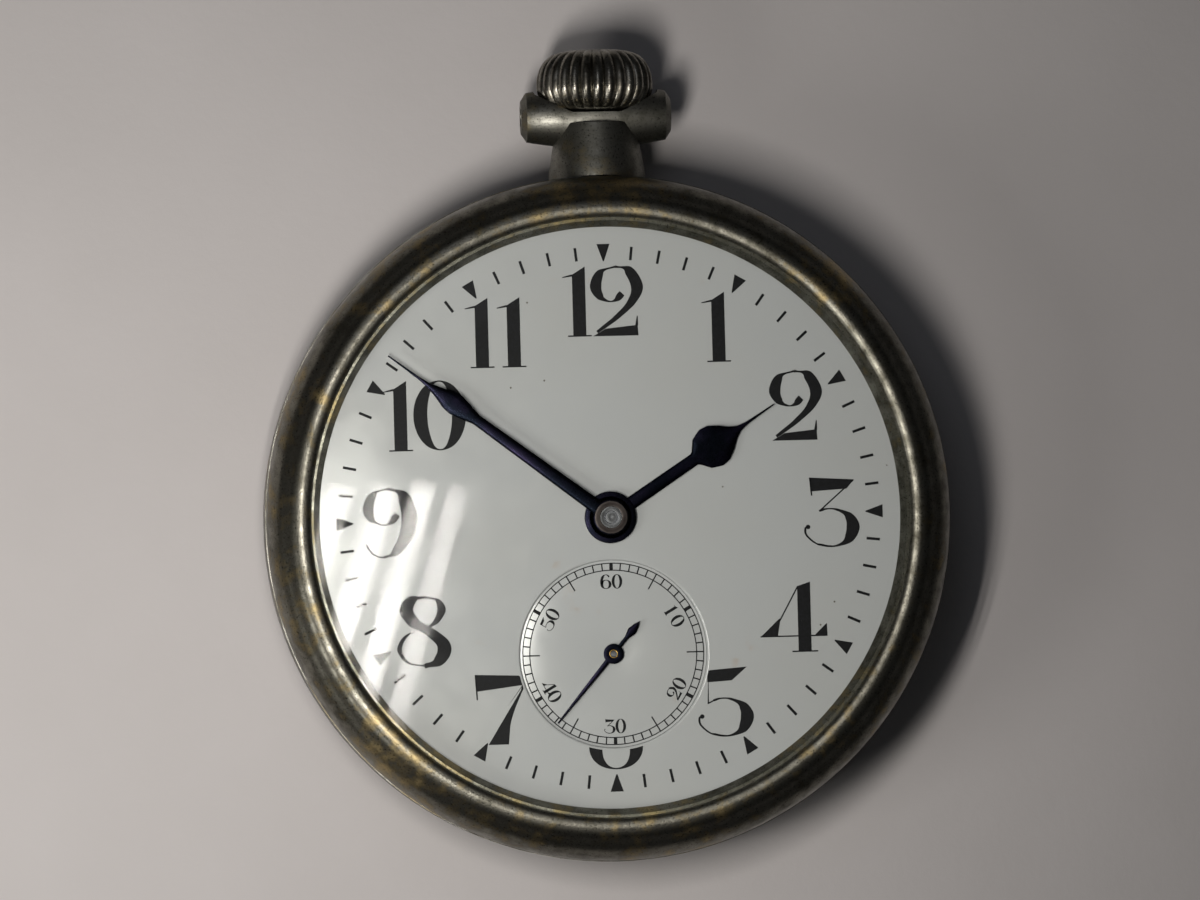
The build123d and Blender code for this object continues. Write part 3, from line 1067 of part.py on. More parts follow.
def seconds_hand():
    """Seconds hand: needle, leaf tail and hub with a short pipe."""
    root, tip = 0.22, 0.06
    corners = [(-root, 0), (root, 0), (tip, SECONDS_LENGTH), (-tip, SECONDS_LENGTH)]
    needle = make_face(Polyline(*corners, close=True))
    tail = make_face(Polyline((-0.14, 0), (-0.30, -0.75 * SECONDS_TAIL), (0, -SECONDS_TAIL),
                              (0.30, -0.75 * SECONDS_TAIL), (0.14, 0), close=True))
    body = slab(needle + tail + Circle(SECONDS_HUB_R), SECONDS_HAND_Z, SECONDS_HAND_Z + SECONDS_HAND_T)
    body += disc(0.40, SECONDS_HAND_Z - 0.10, SECONDS_HAND_Z + 0.25)
    body = Rot(0, 0, -SECONDS_DEG) * body - disc(SECONDS_ARBOR_R, SECONDS_HAND_Z - 1, SECONDS_HAND_Z + 1)
    return Pos(FOURTH_AT[0], FOURTH_AT[1], 0) * body


def dial():
    """Enamel dial with centre hole, sunk seconds opening and three feet."""
    body = disc(DIAL_R, DIAL_Z, DIAL_TOP) - disc(DIAL_HOLE_R, DIAL_Z, DIAL_TOP)
    body -= disc(SECONDS_SINK_R, DIAL_Z, DIAL_TOP, FOURTH_AT)
    feet = [disc(DIAL_FOOT_R, FOOT_HOLE_Z, DIAL_Z, polar(CENTRE_AT, DIAL_FOOT_AT, a)) for a in DIAL_FOOT_DEG]
    return body + feet


def seconds_dial():
    """Sunk seconds dial, held by a flange behind the main dial."""
    body = disc(SECONDS_SINK_R + SECONDS_FLANGE, DIAL_Z - SECONDS_DIAL_T, DIAL_Z, FOURTH_AT)
    body += disc(SECONDS_SINK_R, DIAL_Z, DIAL_Z + SECONDS_DIAL_T, FOURTH_AT)
    return body - disc(SECONDS_ARBOR_R + 0.21, DIAL_Z - 1, DIAL_Z + 1, FOURTH_AT)


NODES = {
    "case_middle": case_middle, "hinge_pin": hinge_pin, "back_cover": back_cover, "dust_cover": dust_cover,
    "bezel": bezel, "crystal": crystal, "pendant": pendant, "crown": crown, "winding_stem": winding_stem,
    "winding_pinion": winding_pinion, "clutch_wheel": clutch_wheel, "crown_wheel": crown_wheel,
    "ratchet_wheel": ratchet_wheel, "click": click, "click_spring": click_spring, "barrel_drum": barrel_drum,
    "barrel_cover": barrel_cover, "mainspring": mainspring, "barrel_arbor": barrel_arbor,
    "centre_arbor": centre_arbor, "centre_wheel": centre_wheel, "third_arbor": third_arbor,
    "third_wheel": third_wheel, "fourth_arbor": fourth_arbor, "fourth_wheel": fourth_wheel,
    "escape_arbor": escape_arbor, "escape_wheel": escape_wheel, "pallet_fork": pallet_fork,
    "pallet_stones": pallet_stones, "pallet_arbor": pallet_arbor, "balance_wheel": balance_wheel,
    "timing_screws": timing_screws, "balance_staff": balance_staff, "roller": roller, "impulse_pin": impulse_pin,
    "hairspring": hairspring, "hairspring_stud": hairspring_stud, "regulator": regulator,
    "main_plate": main_plate, "fixed_jewels": fixed_jewels, "barrel_bridge": barrel_bridge,
    "train_bridge": train_bridge, "pallet_cock": pallet_cock, "balance_cock": balance_cock,
    "bridge_screws": bridge_screws, "case_screws": case_screws, "dial_screws": dial_screws,
    "cannon_pinion": cannon_pinion, "minute_wheel": minute_wheel, "hour_wheel": hour_wheel,
    "setting_wheel": setting_wheel, "hour_hand": hour_hand, "minute_hand": minute_hand,
    "seconds_hand": seconds_hand, "dial": dial, "seconds_dial": seconds_dial,
    "ratchet_screw": ratchet_screw, "crown_wheel_screw": crown_wheel_screw,
}

for name, make in NODES.items():
    shape = make()
    shape.label = name
    export_step(shape, f"parts/{name}.step")
    print(f"{name}: {len(shape.solids())} solid, {shape.volume:.3f} mm3")
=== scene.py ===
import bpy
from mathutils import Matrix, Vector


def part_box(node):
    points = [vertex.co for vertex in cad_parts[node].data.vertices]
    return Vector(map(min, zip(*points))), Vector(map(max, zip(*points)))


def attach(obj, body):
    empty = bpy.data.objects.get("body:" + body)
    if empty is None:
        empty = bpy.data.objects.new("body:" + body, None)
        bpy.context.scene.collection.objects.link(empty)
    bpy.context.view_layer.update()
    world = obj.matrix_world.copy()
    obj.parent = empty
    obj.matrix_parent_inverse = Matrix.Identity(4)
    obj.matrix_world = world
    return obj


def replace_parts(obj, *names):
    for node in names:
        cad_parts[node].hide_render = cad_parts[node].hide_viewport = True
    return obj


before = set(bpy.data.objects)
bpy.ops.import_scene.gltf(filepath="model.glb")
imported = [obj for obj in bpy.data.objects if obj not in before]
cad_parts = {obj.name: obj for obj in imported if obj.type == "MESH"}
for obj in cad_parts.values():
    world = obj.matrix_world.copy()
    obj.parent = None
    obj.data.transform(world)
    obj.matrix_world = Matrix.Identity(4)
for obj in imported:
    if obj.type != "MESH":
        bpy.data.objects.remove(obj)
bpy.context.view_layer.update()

"""Looks of an open face pocket watch. Objects are in the frame's metres, sizes in classes in millimetres."""

import logging
from dataclasses import dataclass, field
from enum import Enum
from math import cos, pi, radians, sin, tan
from typing import Sequence

import bmesh
import bpy
import numpy as np
from mathutils import Matrix, Vector

log = logging.getLogger("watch")
MM = 0.001
TURN = 2 * pi
Point = tuple[float, float]
Colour = tuple[float, float, float, float]
Tree = bpy.types.NodeTree
Node = bpy.types.Node
Socket = bpy.types.NodeSocket


class Slot(Enum):
    """Names of material slots."""

    NICKEL_SILVER = "nickel_silver"
    CROWN = "crown_metal"
    ENAMEL = "enamel"
    INK = "dial_ink"
    HANDS = "hand_steel"
    GLASS = "glass"
    GILT = "gilt_brass"
    STEEL = "polished_steel"


def box_mm(node: str) -> tuple[Vector, Vector]:
    """Lowest and highest corner of a CAD node, in millimetres."""
    low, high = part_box(node)
    return low / MM, high / MM


def middle_mm(node: str) -> Point:
    """Middle of a CAD node seen from above, in millimetres."""
    low, high = box_mm(node)
    return (low.x + high.x) / 2, (low.y + high.y) / 2


def linear(code: str) -> Colour:
    """Linear colour of an sRGB hex code such as "8a8578"."""
    parts = [int(code[i:i + 2], 16) / 255 for i in (0, 2, 4)]
    return (*[c / 12.92 if c <= 0.04045 else ((c + 0.055) / 1.055) ** 2.4 for c in parts], 1.0)


def add_node(tree: Tree, kind: str, settings: dict | None = None, inputs: dict | None = None) -> Node:
    """Adds one shader node with its settings and links.

    Args:
        tree: Tree that takes the node.
        kind: Node type without its prefix, such as "TexNoise".
        settings: Attributes of the node; "stops" sets a colour ramp's (place, colour) pairs.
        inputs: For each input, by name or index, a value, a socket or a node that gives its first output.

    Returns:
        The new node.
    """
    node = tree.nodes.new("ShaderNode" + kind)
    for key, value in (settings or {}).items():
        if key == "stops":
            elements = node.color_ramp.elements
            while len(elements) < len(value):
                elements.new(1.0)
            for element, (place, colour) in zip(elements, value):
                element.position = place
                element.color = colour
        else:
            setattr(node, key, value)
    for key, value in (inputs or {}).items():
        if isinstance(value, Node):
            value = next(output for output in value.outputs if output.enabled)
        if isinstance(value, Socket):
            tree.links.new(value, node.inputs[key])
        else:
            node.inputs[key].default_value = value
    return node


def grey(value: float) -> Colour:
    """Grey of a linear value, for ramps that carry a number."""
    return (value, value, value, 1.0)


# Finishes
@dataclass(frozen=True)
class Finish:
    """A finish: a real material and how its surface was made."""

    name: str

    def material(self) -> bpy.types.Material:
        """The material, made once and shared."""
        known = bpy.data.materials.get(self.name)
        if known is not None:
            return known
        made = bpy.data.materials.new(self.name)
        made.use_nodes = True
        tree = made.node_tree
        tree.nodes.clear()
        shader = self.shade(tree)
        add_node(tree, "OutputMaterial", inputs={"Surface": shader})
        return made

    def shade(self, tree: Tree) -> Node:
        """Builds the nodes and returns the shader."""
        raise NotImplementedError

    def place(self, tree: Tree) -> Socket:
        """Object coordinates, in metres."""
        return add_node(tree, "TexCoord").outputs["Object"]

    def grain(self, tree: Tree, size_mm: float, detail: float = 4.0, rough: float = 0.55,
              place: Node | Socket | None = None) -> Node:
        """Noise whose blotches are about size_mm across."""
        return add_node(tree, "TexNoise", inputs={
            "Vector": place or self.place(tree), "Scale": 1 / (size_mm * MM), "Detail": detail,
            "Roughness": rough})

    def metal(self, tree: Tree, colour: Node, roughness: Node, height: Node | Socket,
              depth_mm: float) -> Node:
        """Metal shader with a colour, a roughness and a height that bumps by depth_mm."""
        bump = add_node(tree, "Bump", inputs={"Height": height, "Distance": depth_mm * MM, "Strength": 1.0})
        return add_node(tree, "BsdfPrincipled", inputs={
            "Base Color": colour, "Roughness": roughness, "Normal": bump, "Metallic": 1.0})


@dataclass(frozen=True)
class TarnishedNickelSilver(Finish):
    """Nickel silver, turned and polished, then tarnished: the eye sees a dull olive grey with brassy mottling
    where handling wore it, fine pits full of dirt and a darker skin in the hollows."""

    base: str = "83827a"
    tarnish: str = "4d4c44"
    brass: str = "9c8f70"
    dirt: str = "2b2822"
    blotch_mm: float = 2.2
    pit_mm: float = 0.16
    rough_low: float = 0.38
    rough_high: float = 0.54
    tarnish_share: float = 0.52
    brass_share: float = 0.74

    def shade(self, tree: Tree) -> Node:
        """Three scales of noise choose between metal, tarnish and brassy wear; the finest also pits it."""
        place = self.place(tree)
        broad = self.grain(tree, 6 * self.blotch_mm, 3.0, 0.5, place)
        blotch = self.grain(tree, self.blotch_mm, 6.0, 0.62, place)
        pits = self.grain(tree, self.pit_mm, 3.0, 0.6, place)
        limit = self.tarnish_share
        mask = add_node(tree, "ValToRGB", {"stops": [(limit - 0.16, grey(0.0)), (limit + 0.14, grey(1.0))]},
                        {"Fac": blotch})
        dull = add_node(tree, "Mix", {"data_type": "RGBA"},
                        {"Factor": mask, "A": linear(self.base), "B": linear(self.tarnish)})
        both = add_node(tree, "Math", {"operation": "MULTIPLY"}, {0: broad, 1: blotch})
        limit = self.brass_share * 0.45
        wear = add_node(tree, "ValToRGB", {"stops": [(limit - 0.06, grey(0.0)), (limit + 0.10, grey(1.0))]},
                        {"Fac": both})
        worn = add_node(tree, "Mix", {"data_type": "RGBA"},
                        {"Factor": wear, "A": dull, "B": linear(self.brass)})
        dirt = add_node(tree, "ValToRGB", {"stops": [(0.30, linear(self.dirt)), (0.44, grey(1.0))]},
                        {"Fac": pits})
        colour = add_node(tree, "Mix", {"data_type": "RGBA", "blend_type": "MULTIPLY"},
                          {"Factor": 0.75, "A": worn, "B": dirt})
        roughness = add_node(tree, "MapRange", inputs={
            "Value": blotch, "From Min": 0.35, "From Max": 0.65,
            "To Min": self.rough_low, "To Max": self.rough_high})
        height = add_node(tree, "Math", {"operation": "MULTIPLY_ADD"}, {0: blotch, 1: 2.0, 2: pits})
        return self.metal(tree, colour, roughness, height, 0.012)


@dataclass(frozen=True)
class TurnedMetal(Finish):
    """Metal turned on a lathe or grained with paper: the eye sees fine rings or lines with a long glint."""

    base: str = "b9b9b6"
    dark: str = "8f8f8c"
    line_mm: float = 0.09
    roughness: float = 0.22
    spread: float = 0.12
    rings: bool = True
    depth_mm: float = 0.003

    def shade(self, tree: Tree) -> Node:
        """Rings about the watch's axis, or straight lines, broken up by a slow noise."""
        place = self.place(tree)
        kind = {"wave_type": "RINGS", "rings_direction": "Z"} if self.rings else {"wave_type": "BANDS"}
        lines = add_node(tree, "TexWave", kind, {
            "Vector": place, "Scale": 0.05 / (self.line_mm * MM), "Distortion": 1.4,
            "Detail": 3.0, "Detail Scale": 1.6}).outputs["Fac"]
        patch = self.grain(tree, 1.6, 4.0, 0.6, place)
        mixed = add_node(tree, "Math", {"operation": "MULTIPLY_ADD"}, {0: lines, 1: 0.35, 2: patch})
        colour = add_node(tree, "ValToRGB", {"stops": [(0.35, linear(self.dark)), (0.80, linear(self.base))]},
                          {"Fac": mixed})
        roughness = add_node(tree, "MapRange", inputs={
            "Value": mixed, "From Min": 0.3, "From Max": 0.9, "To Min": self.roughness + self.spread,
            "To Max": self.roughness})
        return self.metal(tree, colour, roughness, lines, self.depth_mm)


@dataclass(frozen=True)
class StripedPlate(Finish):
    """Nickel plated brass, ground in broad stripes: the eye sees shallow waves made of fine curved lines."""

    base: str = "c9c5ba"
    dark: str = "96928a"
    stripe_mm: float = 2.6
    line_mm: float = 0.12
    roughness: float = 0.24

    def shade(self, tree: Tree) -> Node:
        """Saw wave bands give the stripes, finer bands at an angle the grinding lines in them."""
        place = self.place(tree)
        turned = add_node(tree, "Mapping", inputs={"Vector": place, "Rotation": (0, 0, radians(32))})
        stripes = add_node(tree, "TexWave", {"wave_type": "BANDS", "wave_profile": "SAW"}, {
            "Vector": turned, "Scale": 0.31 / (self.stripe_mm * MM), "Distortion": 0.0}).outputs["Fac"]
        fine = add_node(tree, "Mapping", inputs={"Vector": place, "Rotation": (0, 0, radians(78))})
        lines = add_node(tree, "TexWave", {"wave_type": "BANDS"}, {
            "Vector": fine, "Scale": 0.31 / (self.line_mm * MM), "Distortion": 1.2,
            "Detail": 2.0}).outputs["Fac"]
        patch = self.grain(tree, 1.2, 4.0, 0.6, place)
        mixed = add_node(tree, "Math", {"operation": "MULTIPLY_ADD"}, {0: stripes, 1: 0.5, 2: patch})
        colour = add_node(tree, "ValToRGB", {"stops": [(0.30, linear(self.dark)), (0.90, linear(self.base))]},
                          {"Fac": mixed})
        roughness = add_node(tree, "MapRange", inputs={
            "Value": lines, "To Min": self.roughness, "To Max": self.roughness + 0.14})
        height = add_node(tree, "Math", {"operation": "MULTIPLY_ADD"}, {0: lines, 1: 0.12, 2: stripes})
        return self.metal(tree, colour, roughness, height, 0.05)


@dataclass(frozen=True)
class HeatBluedSteel(Finish):
    """Steel polished and heated until an oxide film turns it blue, nearly black where the film is thick: the
    eye sees a dark glossy skin with a violet tint in patches and fine polishing lines."""

    film: str = "0c0f16"
    tint: str = "1a1726"
    patch_mm: float = 3.0
    roughness: float = 0.30

    def shade(self, tree: Tree) -> Node:
        """A slow noise moves between the blue film and its violet tint; a fine one scratches it."""
        place = self.place(tree)
        patch = self.grain(tree, self.patch_mm, 3.0, 0.6, place)
        fine = self.grain(tree, 0.09, 3.0, 0.6, place)
        colour = add_node(tree, "ValToRGB",
                          {"stops": [(0.42, linear(self.film)), (0.68, linear(self.tint))]}, {"Fac": patch})
        roughness = add_node(tree, "MapRange", inputs={
            "Value": fine, "From Min": 0.3, "From Max": 0.7,
            "To Min": self.roughness, "To Max": self.roughness + 0.12})
        return self.metal(tree, colour, roughness, fine, 0.002)


@dataclass(frozen=True)
class FiredEnamel(Finish):
    """White vitreous enamel, fired in layers: the eye sees a glossy, faintly grey white with soft waves in
    its reflections, sparse dark specks and a few rusty stains."""

    base: str = "d4d6d9"
    warm: str = "d3d3d2"
    speck_mm: float = 1.5
    stain_mm: float = 5.5

    def shade(self, tree: Tree) -> Node:
        """Cells whose centres are tiny dark specks, a slow noise of stains and a slow wave in the gloss."""
        place = self.place(tree)
        tone = self.grain(tree, 9.0, 3.0, 0.5, place)
        base = add_node(tree, "Mix", {"data_type": "RGBA"},
                        {"Factor": tone, "A": linear(self.base), "B": linear(self.warm)})
        cells = add_node(tree, "TexVoronoi", inputs={
            "Vector": place, "Scale": 1 / (self.speck_mm * MM), "Randomness": 1.0})
        chance = self.grain(tree, 2.3, 2.0, 0.5, place)
        near = add_node(tree, "MapRange", inputs={
            "Value": cells, "From Min": 0.030, "From Max": 0.060, "To Min": 1.0, "To Max": 0.0})
        rare = add_node(tree, "Math", {"operation": "GREATER_THAN"}, {0: chance, 1: 0.60})
        specks = add_node(tree, "Math", {"operation": "MULTIPLY"}, {0: near, 1: rare})
        speckled = add_node(tree, "Mix", {"data_type": "RGBA"},
                            {"Factor": specks, "A": base, "B": linear("6a6458")})
        stain = self.grain(tree, self.stain_mm, 5.0, 0.6, place)
        rust = add_node(tree, "MapRange", inputs={
            "Value": stain, "From Min": 0.655, "From Max": 0.75, "To Min": 0.0, "To Max": 0.45})
        colour = add_node(tree, "Mix", {"data_type": "RGBA"},
                          {"Factor": rust, "A": speckled, "B": linear("c39a70")})
        wave = self.grain(tree, 4.0, 2.0, 0.4, place)
        bump = add_node(tree, "Bump", inputs={"Height": wave, "Distance": 0.03 * MM, "Strength": 0.5})
        roughness = add_node(tree, "MapRange", inputs={
            "Value": chance, "From Min": 0.3, "From Max": 0.7, "To Min": 0.12, "To Max": 0.20})
        return add_node(tree, "BsdfPrincipled", inputs={
            "Base Color": colour, "Roughness": roughness, "IOR": 1.52, "Normal": bump})


@dataclass(frozen=True)
class FiredInk(Finish):
    """Black dial paint, printed on the enamel and fired: the eye sees a dense black with a low gloss and a
    faint grain where the print is thin."""

    base: str = "0d0d10"
    thin: str = "1d1d22"

    def shade(self, tree: Tree) -> Node:
        """A fine noise thins the ink in spots and roughens it."""
        fine = self.grain(tree, 0.25, 4.0, 0.7)
        colour = add_node(tree, "ValToRGB",
                          {"stops": [(0.40, linear(self.base)), (0.72, linear(self.thin))]}, {"Fac": fine})
        roughness = add_node(tree, "MapRange", inputs={"Value": fine, "To Min": 0.45, "To Max": 0.65})
        return add_node(tree, "BsdfPrincipled", inputs={
            "Base Color": colour, "Roughness": roughness, "IOR": 1.5, "Specular IOR Level": 0.22})


@dataclass(frozen=True)
class PressedGlass(Finish):
    """Mineral glass, moulded and polished: the eye sees the dial through it and reflections that grow to the
    rim, with faint smears on its surface."""

    face_share: float = 0.006
    rim_share: float = 0.5

    def shade(self, tree: Tree) -> Node:
        """A clear pane whose mirror share follows the angle of view; a slow noise smears the mirror."""
        smear = self.grain(tree, 3.5, 5.0, 0.6)
        roughness = add_node(tree, "MapRange", inputs={
            "Value": smear, "From Min": 0.35, "From Max": 0.7, "To Min": 0.02, "To Max": 0.09})
        mirror = add_node(tree, "BsdfGlossy", inputs={"Color": grey(0.9), "Roughness": roughness})
        clear = add_node(tree, "BsdfTransparent", inputs={"Color": linear("fbfcfb")})
        tilt = add_node(tree, "LayerWeight", inputs={"Blend": 0.5}).outputs["Facing"]
        steep = add_node(tree, "Math", {"operation": "POWER"}, {0: tilt, 1: 5.0})
        share = add_node(tree, "Math", {"operation": "MULTIPLY_ADD"},
                         {0: steep, 1: self.rim_share, 2: self.face_share})
        return add_node(tree, "MixShader", inputs={0: share, 1: clear, 2: mirror})


@dataclass(frozen=True)
class GrownRuby(Finish):
    """Synthetic ruby, cut and polished: the eye sees a deep clear red with streaks of growth."""

    base: str = "a3142c"
    deep: str = "5e0a1a"

    def shade(self, tree: Tree) -> Node:
        """Growth streaks vary the red; the stone is partly clear."""
        streaks = self.grain(tree, 0.5, 3.0, 0.5)
        colour = add_node(tree, "ValToRGB",
                          {"stops": [(0.35, linear(self.deep)), (0.70, linear(self.base))]}, {"Fac": streaks})
        return add_node(tree, "BsdfPrincipled", inputs={
            "Base Color": colour, "Roughness": 0.06, "IOR": 1.76, "Transmission Weight": 0.35,
            "Coat Weight": 0.4})


@dataclass(frozen=True)
class PaintedBoard(Finish):
    """Smooth board painted pale grey with a roller: the eye sees an even matte tone with slight clouds."""

    base: str = "d4d0cf"
    cloud: str = "c9c5c3"

    def shade(self, tree: Tree) -> Node:
        """Slow clouds in the tone and a fine matte grain."""
        clouds = self.grain(tree, 18.0, 4.0, 0.6)
        fine = self.grain(tree, 0.8, 3.0, 0.6)
        colour = add_node(tree, "Mix", {"data_type": "RGBA"},
                          {"Factor": clouds, "A": linear(self.base), "B": linear(self.cloud)})
        bump = add_node(tree, "Bump", inputs={"Height": fine, "Distance": 0.05 * MM, "Strength": 0.4})
        return add_node(tree, "BsdfPrincipled", inputs={
            "Base Color": colour, "Roughness": 0.62, "Normal": bump})


CASE_METAL = TarnishedNickelSilver("nickel_silver_turned_and_tarnished")
BEZEL_METAL = TarnishedNickelSilver(
    "nickel_silver_bezel_worn_brassy", base="7c7a70", tarnish="45433a", brass="a5946c", blotch_mm=1.4,
    rough_low=0.30, rough_high=0.44, brass_share=0.70)
CROWN_METAL = TarnishedNickelSilver(
    "nickel_silver_crown_milled", base="9b988e", tarnish="4a463d", brass="a09070", blotch_mm=1.1,
    rough_low=0.22, rough_high=0.38, brass_share=0.80)
BACK_METAL = TarnishedNickelSilver(
    "nickel_silver_back_polished_and_scratched", tarnish="5d5a4d", blotch_mm=3.4, rough_low=0.22,
    rough_high=0.38, tarnish_share=0.56)
GILT_DUST = TurnedMetal("gilt_brass_turned_cover", "cfae6c", "9c7c40", line_mm=0.20, roughness=0.26)
GILT = TurnedMetal("gilt_brass_circular_grained", "d2ad62", "a07c3a", line_mm=0.10, roughness=0.24)
STEEL = TurnedMetal("carbon_steel_turned_and_polished", "b4b5b8", "7f8086", line_mm=0.07, roughness=0.16)
STEEL_WHEEL = TurnedMetal("carbon_steel_sunray_wheel", "b9b9b8", "84858a", line_mm=0.12, roughness=0.22)
SPRING = TurnedMetal("spring_steel_drawn_wire", "7f858e", "50555f", line_mm=0.06, roughness=0.26, rings=False)
PLATE = StripedPlate("nickel_plated_brass_striped")
GRAINED_PLATE = TurnedMetal("nickel_plated_brass_grained", "c4c0b4", "98948a", line_mm=0.16, roughness=0.30)
BLUED = HeatBluedSteel("carbon_steel_heat_blued", "1b2f63", "3a2c66", patch_mm=0.8)
HAND = HeatBluedSteel("carbon_steel_blued_nearly_black", roughness=0.24)
ENAMEL = FiredEnamel("white_enamel_fired")
INK = FiredInk("black_dial_paint_fired")
GLASS = PressedGlass("mineral_glass_pressed")
RUBY = GrownRuby("synthetic_ruby_polished")
CAP = TurnedMetal("carbon_steel_cap_oxidised", "4c4644", "2c2726", line_mm=0.08, roughness=0.42)
PIPE = TurnedMetal("brass_pipe_turned", "b08c4e", "6e5428", line_mm=0.06, roughness=0.28)


# Surfaces
def curve_through(points: Sequence[Point], steps: int, closed: bool = False) -> np.ndarray:
    """Smooth line through points.

    Each stretch is a cubic whose end slopes are half the chord between the neighbours (Catmull-Rom).

    Args:
        points: The line's points.
        steps: Samples for each stretch.
        closed: Whether the last point joins the first.

    Returns:
        The samples, one row each.
    """
    p = np.asarray(points, float)
    p = np.vstack([p[-1], p, p[0], p[1]]) if closed else np.vstack([2 * p[0] - p[1], p, 2 * p[-1] - p[-2]])
    t = np.linspace(0, 1, steps, endpoint=False)[None, :, None]
    a, b, c, d = (p[i:len(p) - 3 + i, None, :] for i in range(4))
    square, cube = 2 * a - 5 * b + 4 * c - d, 3 * b - a - 3 * c + d
    body = 0.5 * (2 * b + (c - a) * t + square * t ** 2 + cube * t ** 3)
    line = body.reshape(-1, p.shape[1])
    return line if closed else np.vstack([line, p[-2]])


def grid_faces(rows: int, columns: int, wrap_rows: bool, wrap_columns: bool) -> np.ndarray:
    """Quads of a grid of rows times columns points, closed in a direction where it wraps."""
    i = np.arange(rows if wrap_rows else rows - 1)[:, None]
    j = np.arange(columns if wrap_columns else columns - 1)[None, :]
    i2, j2 = (i + 1) % rows, (j + 1) % columns
    corners = [i * columns + j, i * columns + j2, i2 * columns + j2, i2 * columns + j]
    return np.stack(corners, axis=-1).reshape(-1, 4)


@dataclass
class Shell:
    """Points and faces of a surface in millimetres, which other surfaces can join."""

    points: np.ndarray
    faces: list[np.ndarray]

    @classmethod
    def grid(cls, points: np.ndarray, wrap_rows: bool = False, wrap_columns: bool = False) -> "Shell":
        """Surface over a grid of points, rows times columns times three."""
        rows, columns = points.shape[:2]
        return cls(points.reshape(-1, 3), [grid_faces(rows, columns, wrap_rows, wrap_columns)])

    def joined(self, *others: "Shell") -> "Shell":
        """This surface and others as one."""
        points, faces = [self.points], list(self.faces)
        count = len(self.points)
        for other in others:
            faces += [f + count for f in other.faces]
            points.append(other.points)
            count += len(other.points)
        return Shell(np.vstack(points), faces)

    def scaled(self, factor: float) -> "Shell":
        """Larger by a factor in its plane."""
        return Shell(self.points * np.array([factor, factor, 1]), self.faces)

    def moved(self, x: float = 0.0, y: float = 0.0, z: float = 0.0, clockwise_deg: float = 0.0) -> "Shell":
        """Turned clockwise about Z, then moved."""
        c, s = cos(radians(clockwise_deg)), sin(radians(clockwise_deg))
        turn = np.array([[c, s, 0], [-s, c, 0], [0, 0, 1]])
        return Shell(self.points @ turn.T + np.array([x, y, z]), self.faces)

    def piece(self, name: str, finish: Finish, body: str, slot: Slot,
              crease_deg: float = 40.0) -> bpy.types.Object:
        """Makes the object: doubles merged, faces turned outwards, smooth except at creases.

        Args:
            name: Object name.
            finish: Finish of the whole piece.
            body: CAD body that it rides on.
            slot: Not used.
            crease_deg: Edges that turn by more stay sharp.

        Returns:
            The object, at the origin with its place in its mesh.
        """
        mesh = bpy.data.meshes.new(name)
        faces = [f for group in self.faces for f in group.tolist()]
        mesh.from_pydata((self.points * MM).tolist(), [], faces)
        work = bmesh.new()
        work.from_mesh(mesh)
        bmesh.ops.remove_doubles(work, verts=work.verts, dist=1e-7)
        bmesh.ops.dissolve_degenerate(work, edges=work.edges, dist=1e-8)
        bmesh.ops.delete(work, geom=[v for v in work.verts if not v.link_faces], context="VERTS")
        bmesh.ops.recalc_face_normals(work, faces=work.faces)
        work.to_mesh(mesh)
        work.free()
        mesh.shade_smooth()
        mesh.set_sharp_from_angle(angle=radians(crease_deg))
        piece = bpy.data.objects.new(name, mesh)
        bpy.context.scene.collection.objects.link(piece)
        mesh.materials.append(finish.material())
        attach(piece, body)
        log.info("%s: %d faces", name, len(mesh.polygons))
        return piece


def lathe(profile: np.ndarray, steps: int = 288, centre: Point = (0.0, 0.0), closed: bool = True) -> Shell:
    """Surface of revolution: the profile's (radius, height) points carried round an upright axis.

    A point at radius r and angle a is at (r cos a, r sin a); a closed profile makes a ring.
    """
    a = np.linspace(0, TURN, steps, endpoint=False)[None, :]
    r, z = profile[:, 0][:, None], profile[:, 1][:, None]
    points = np.stack([centre[0] + r * np.cos(a), centre[1] + r * np.sin(a), z + 0 * a], axis=-1)
    return Shell.grid(points, wrap_rows=closed, wrap_columns=True)


def eased(corners: Sequence[Point], radius: float, steps: int = 4) -> np.ndarray:
    """Closed profile with each corner cut to a small arc.

    The corner P between its neighbours becomes the quadratic curve from P towards one neighbour to P towards
    the other, both radius away or a third of the side if that is less.
    """
    p = np.asarray(corners, float)
    back, ahead = np.roll(p, 1, axis=0) - p, np.roll(p, -1, axis=0) - p
    back_len, ahead_len = (np.linalg.norm(side, axis=1, keepdims=True) for side in (back, ahead))
    start = p + back * np.minimum(radius / back_len, 1 / 3)
    end = p + ahead * np.minimum(radius / ahead_len, 1 / 3)
    t = np.linspace(0, 1, steps)[None, :, None]
    arc = (1 - t) ** 2 * start[:, None] + 2 * t * (1 - t) * p[:, None] + t ** 2 * end[:, None]
    return arc.reshape(-1, 2)


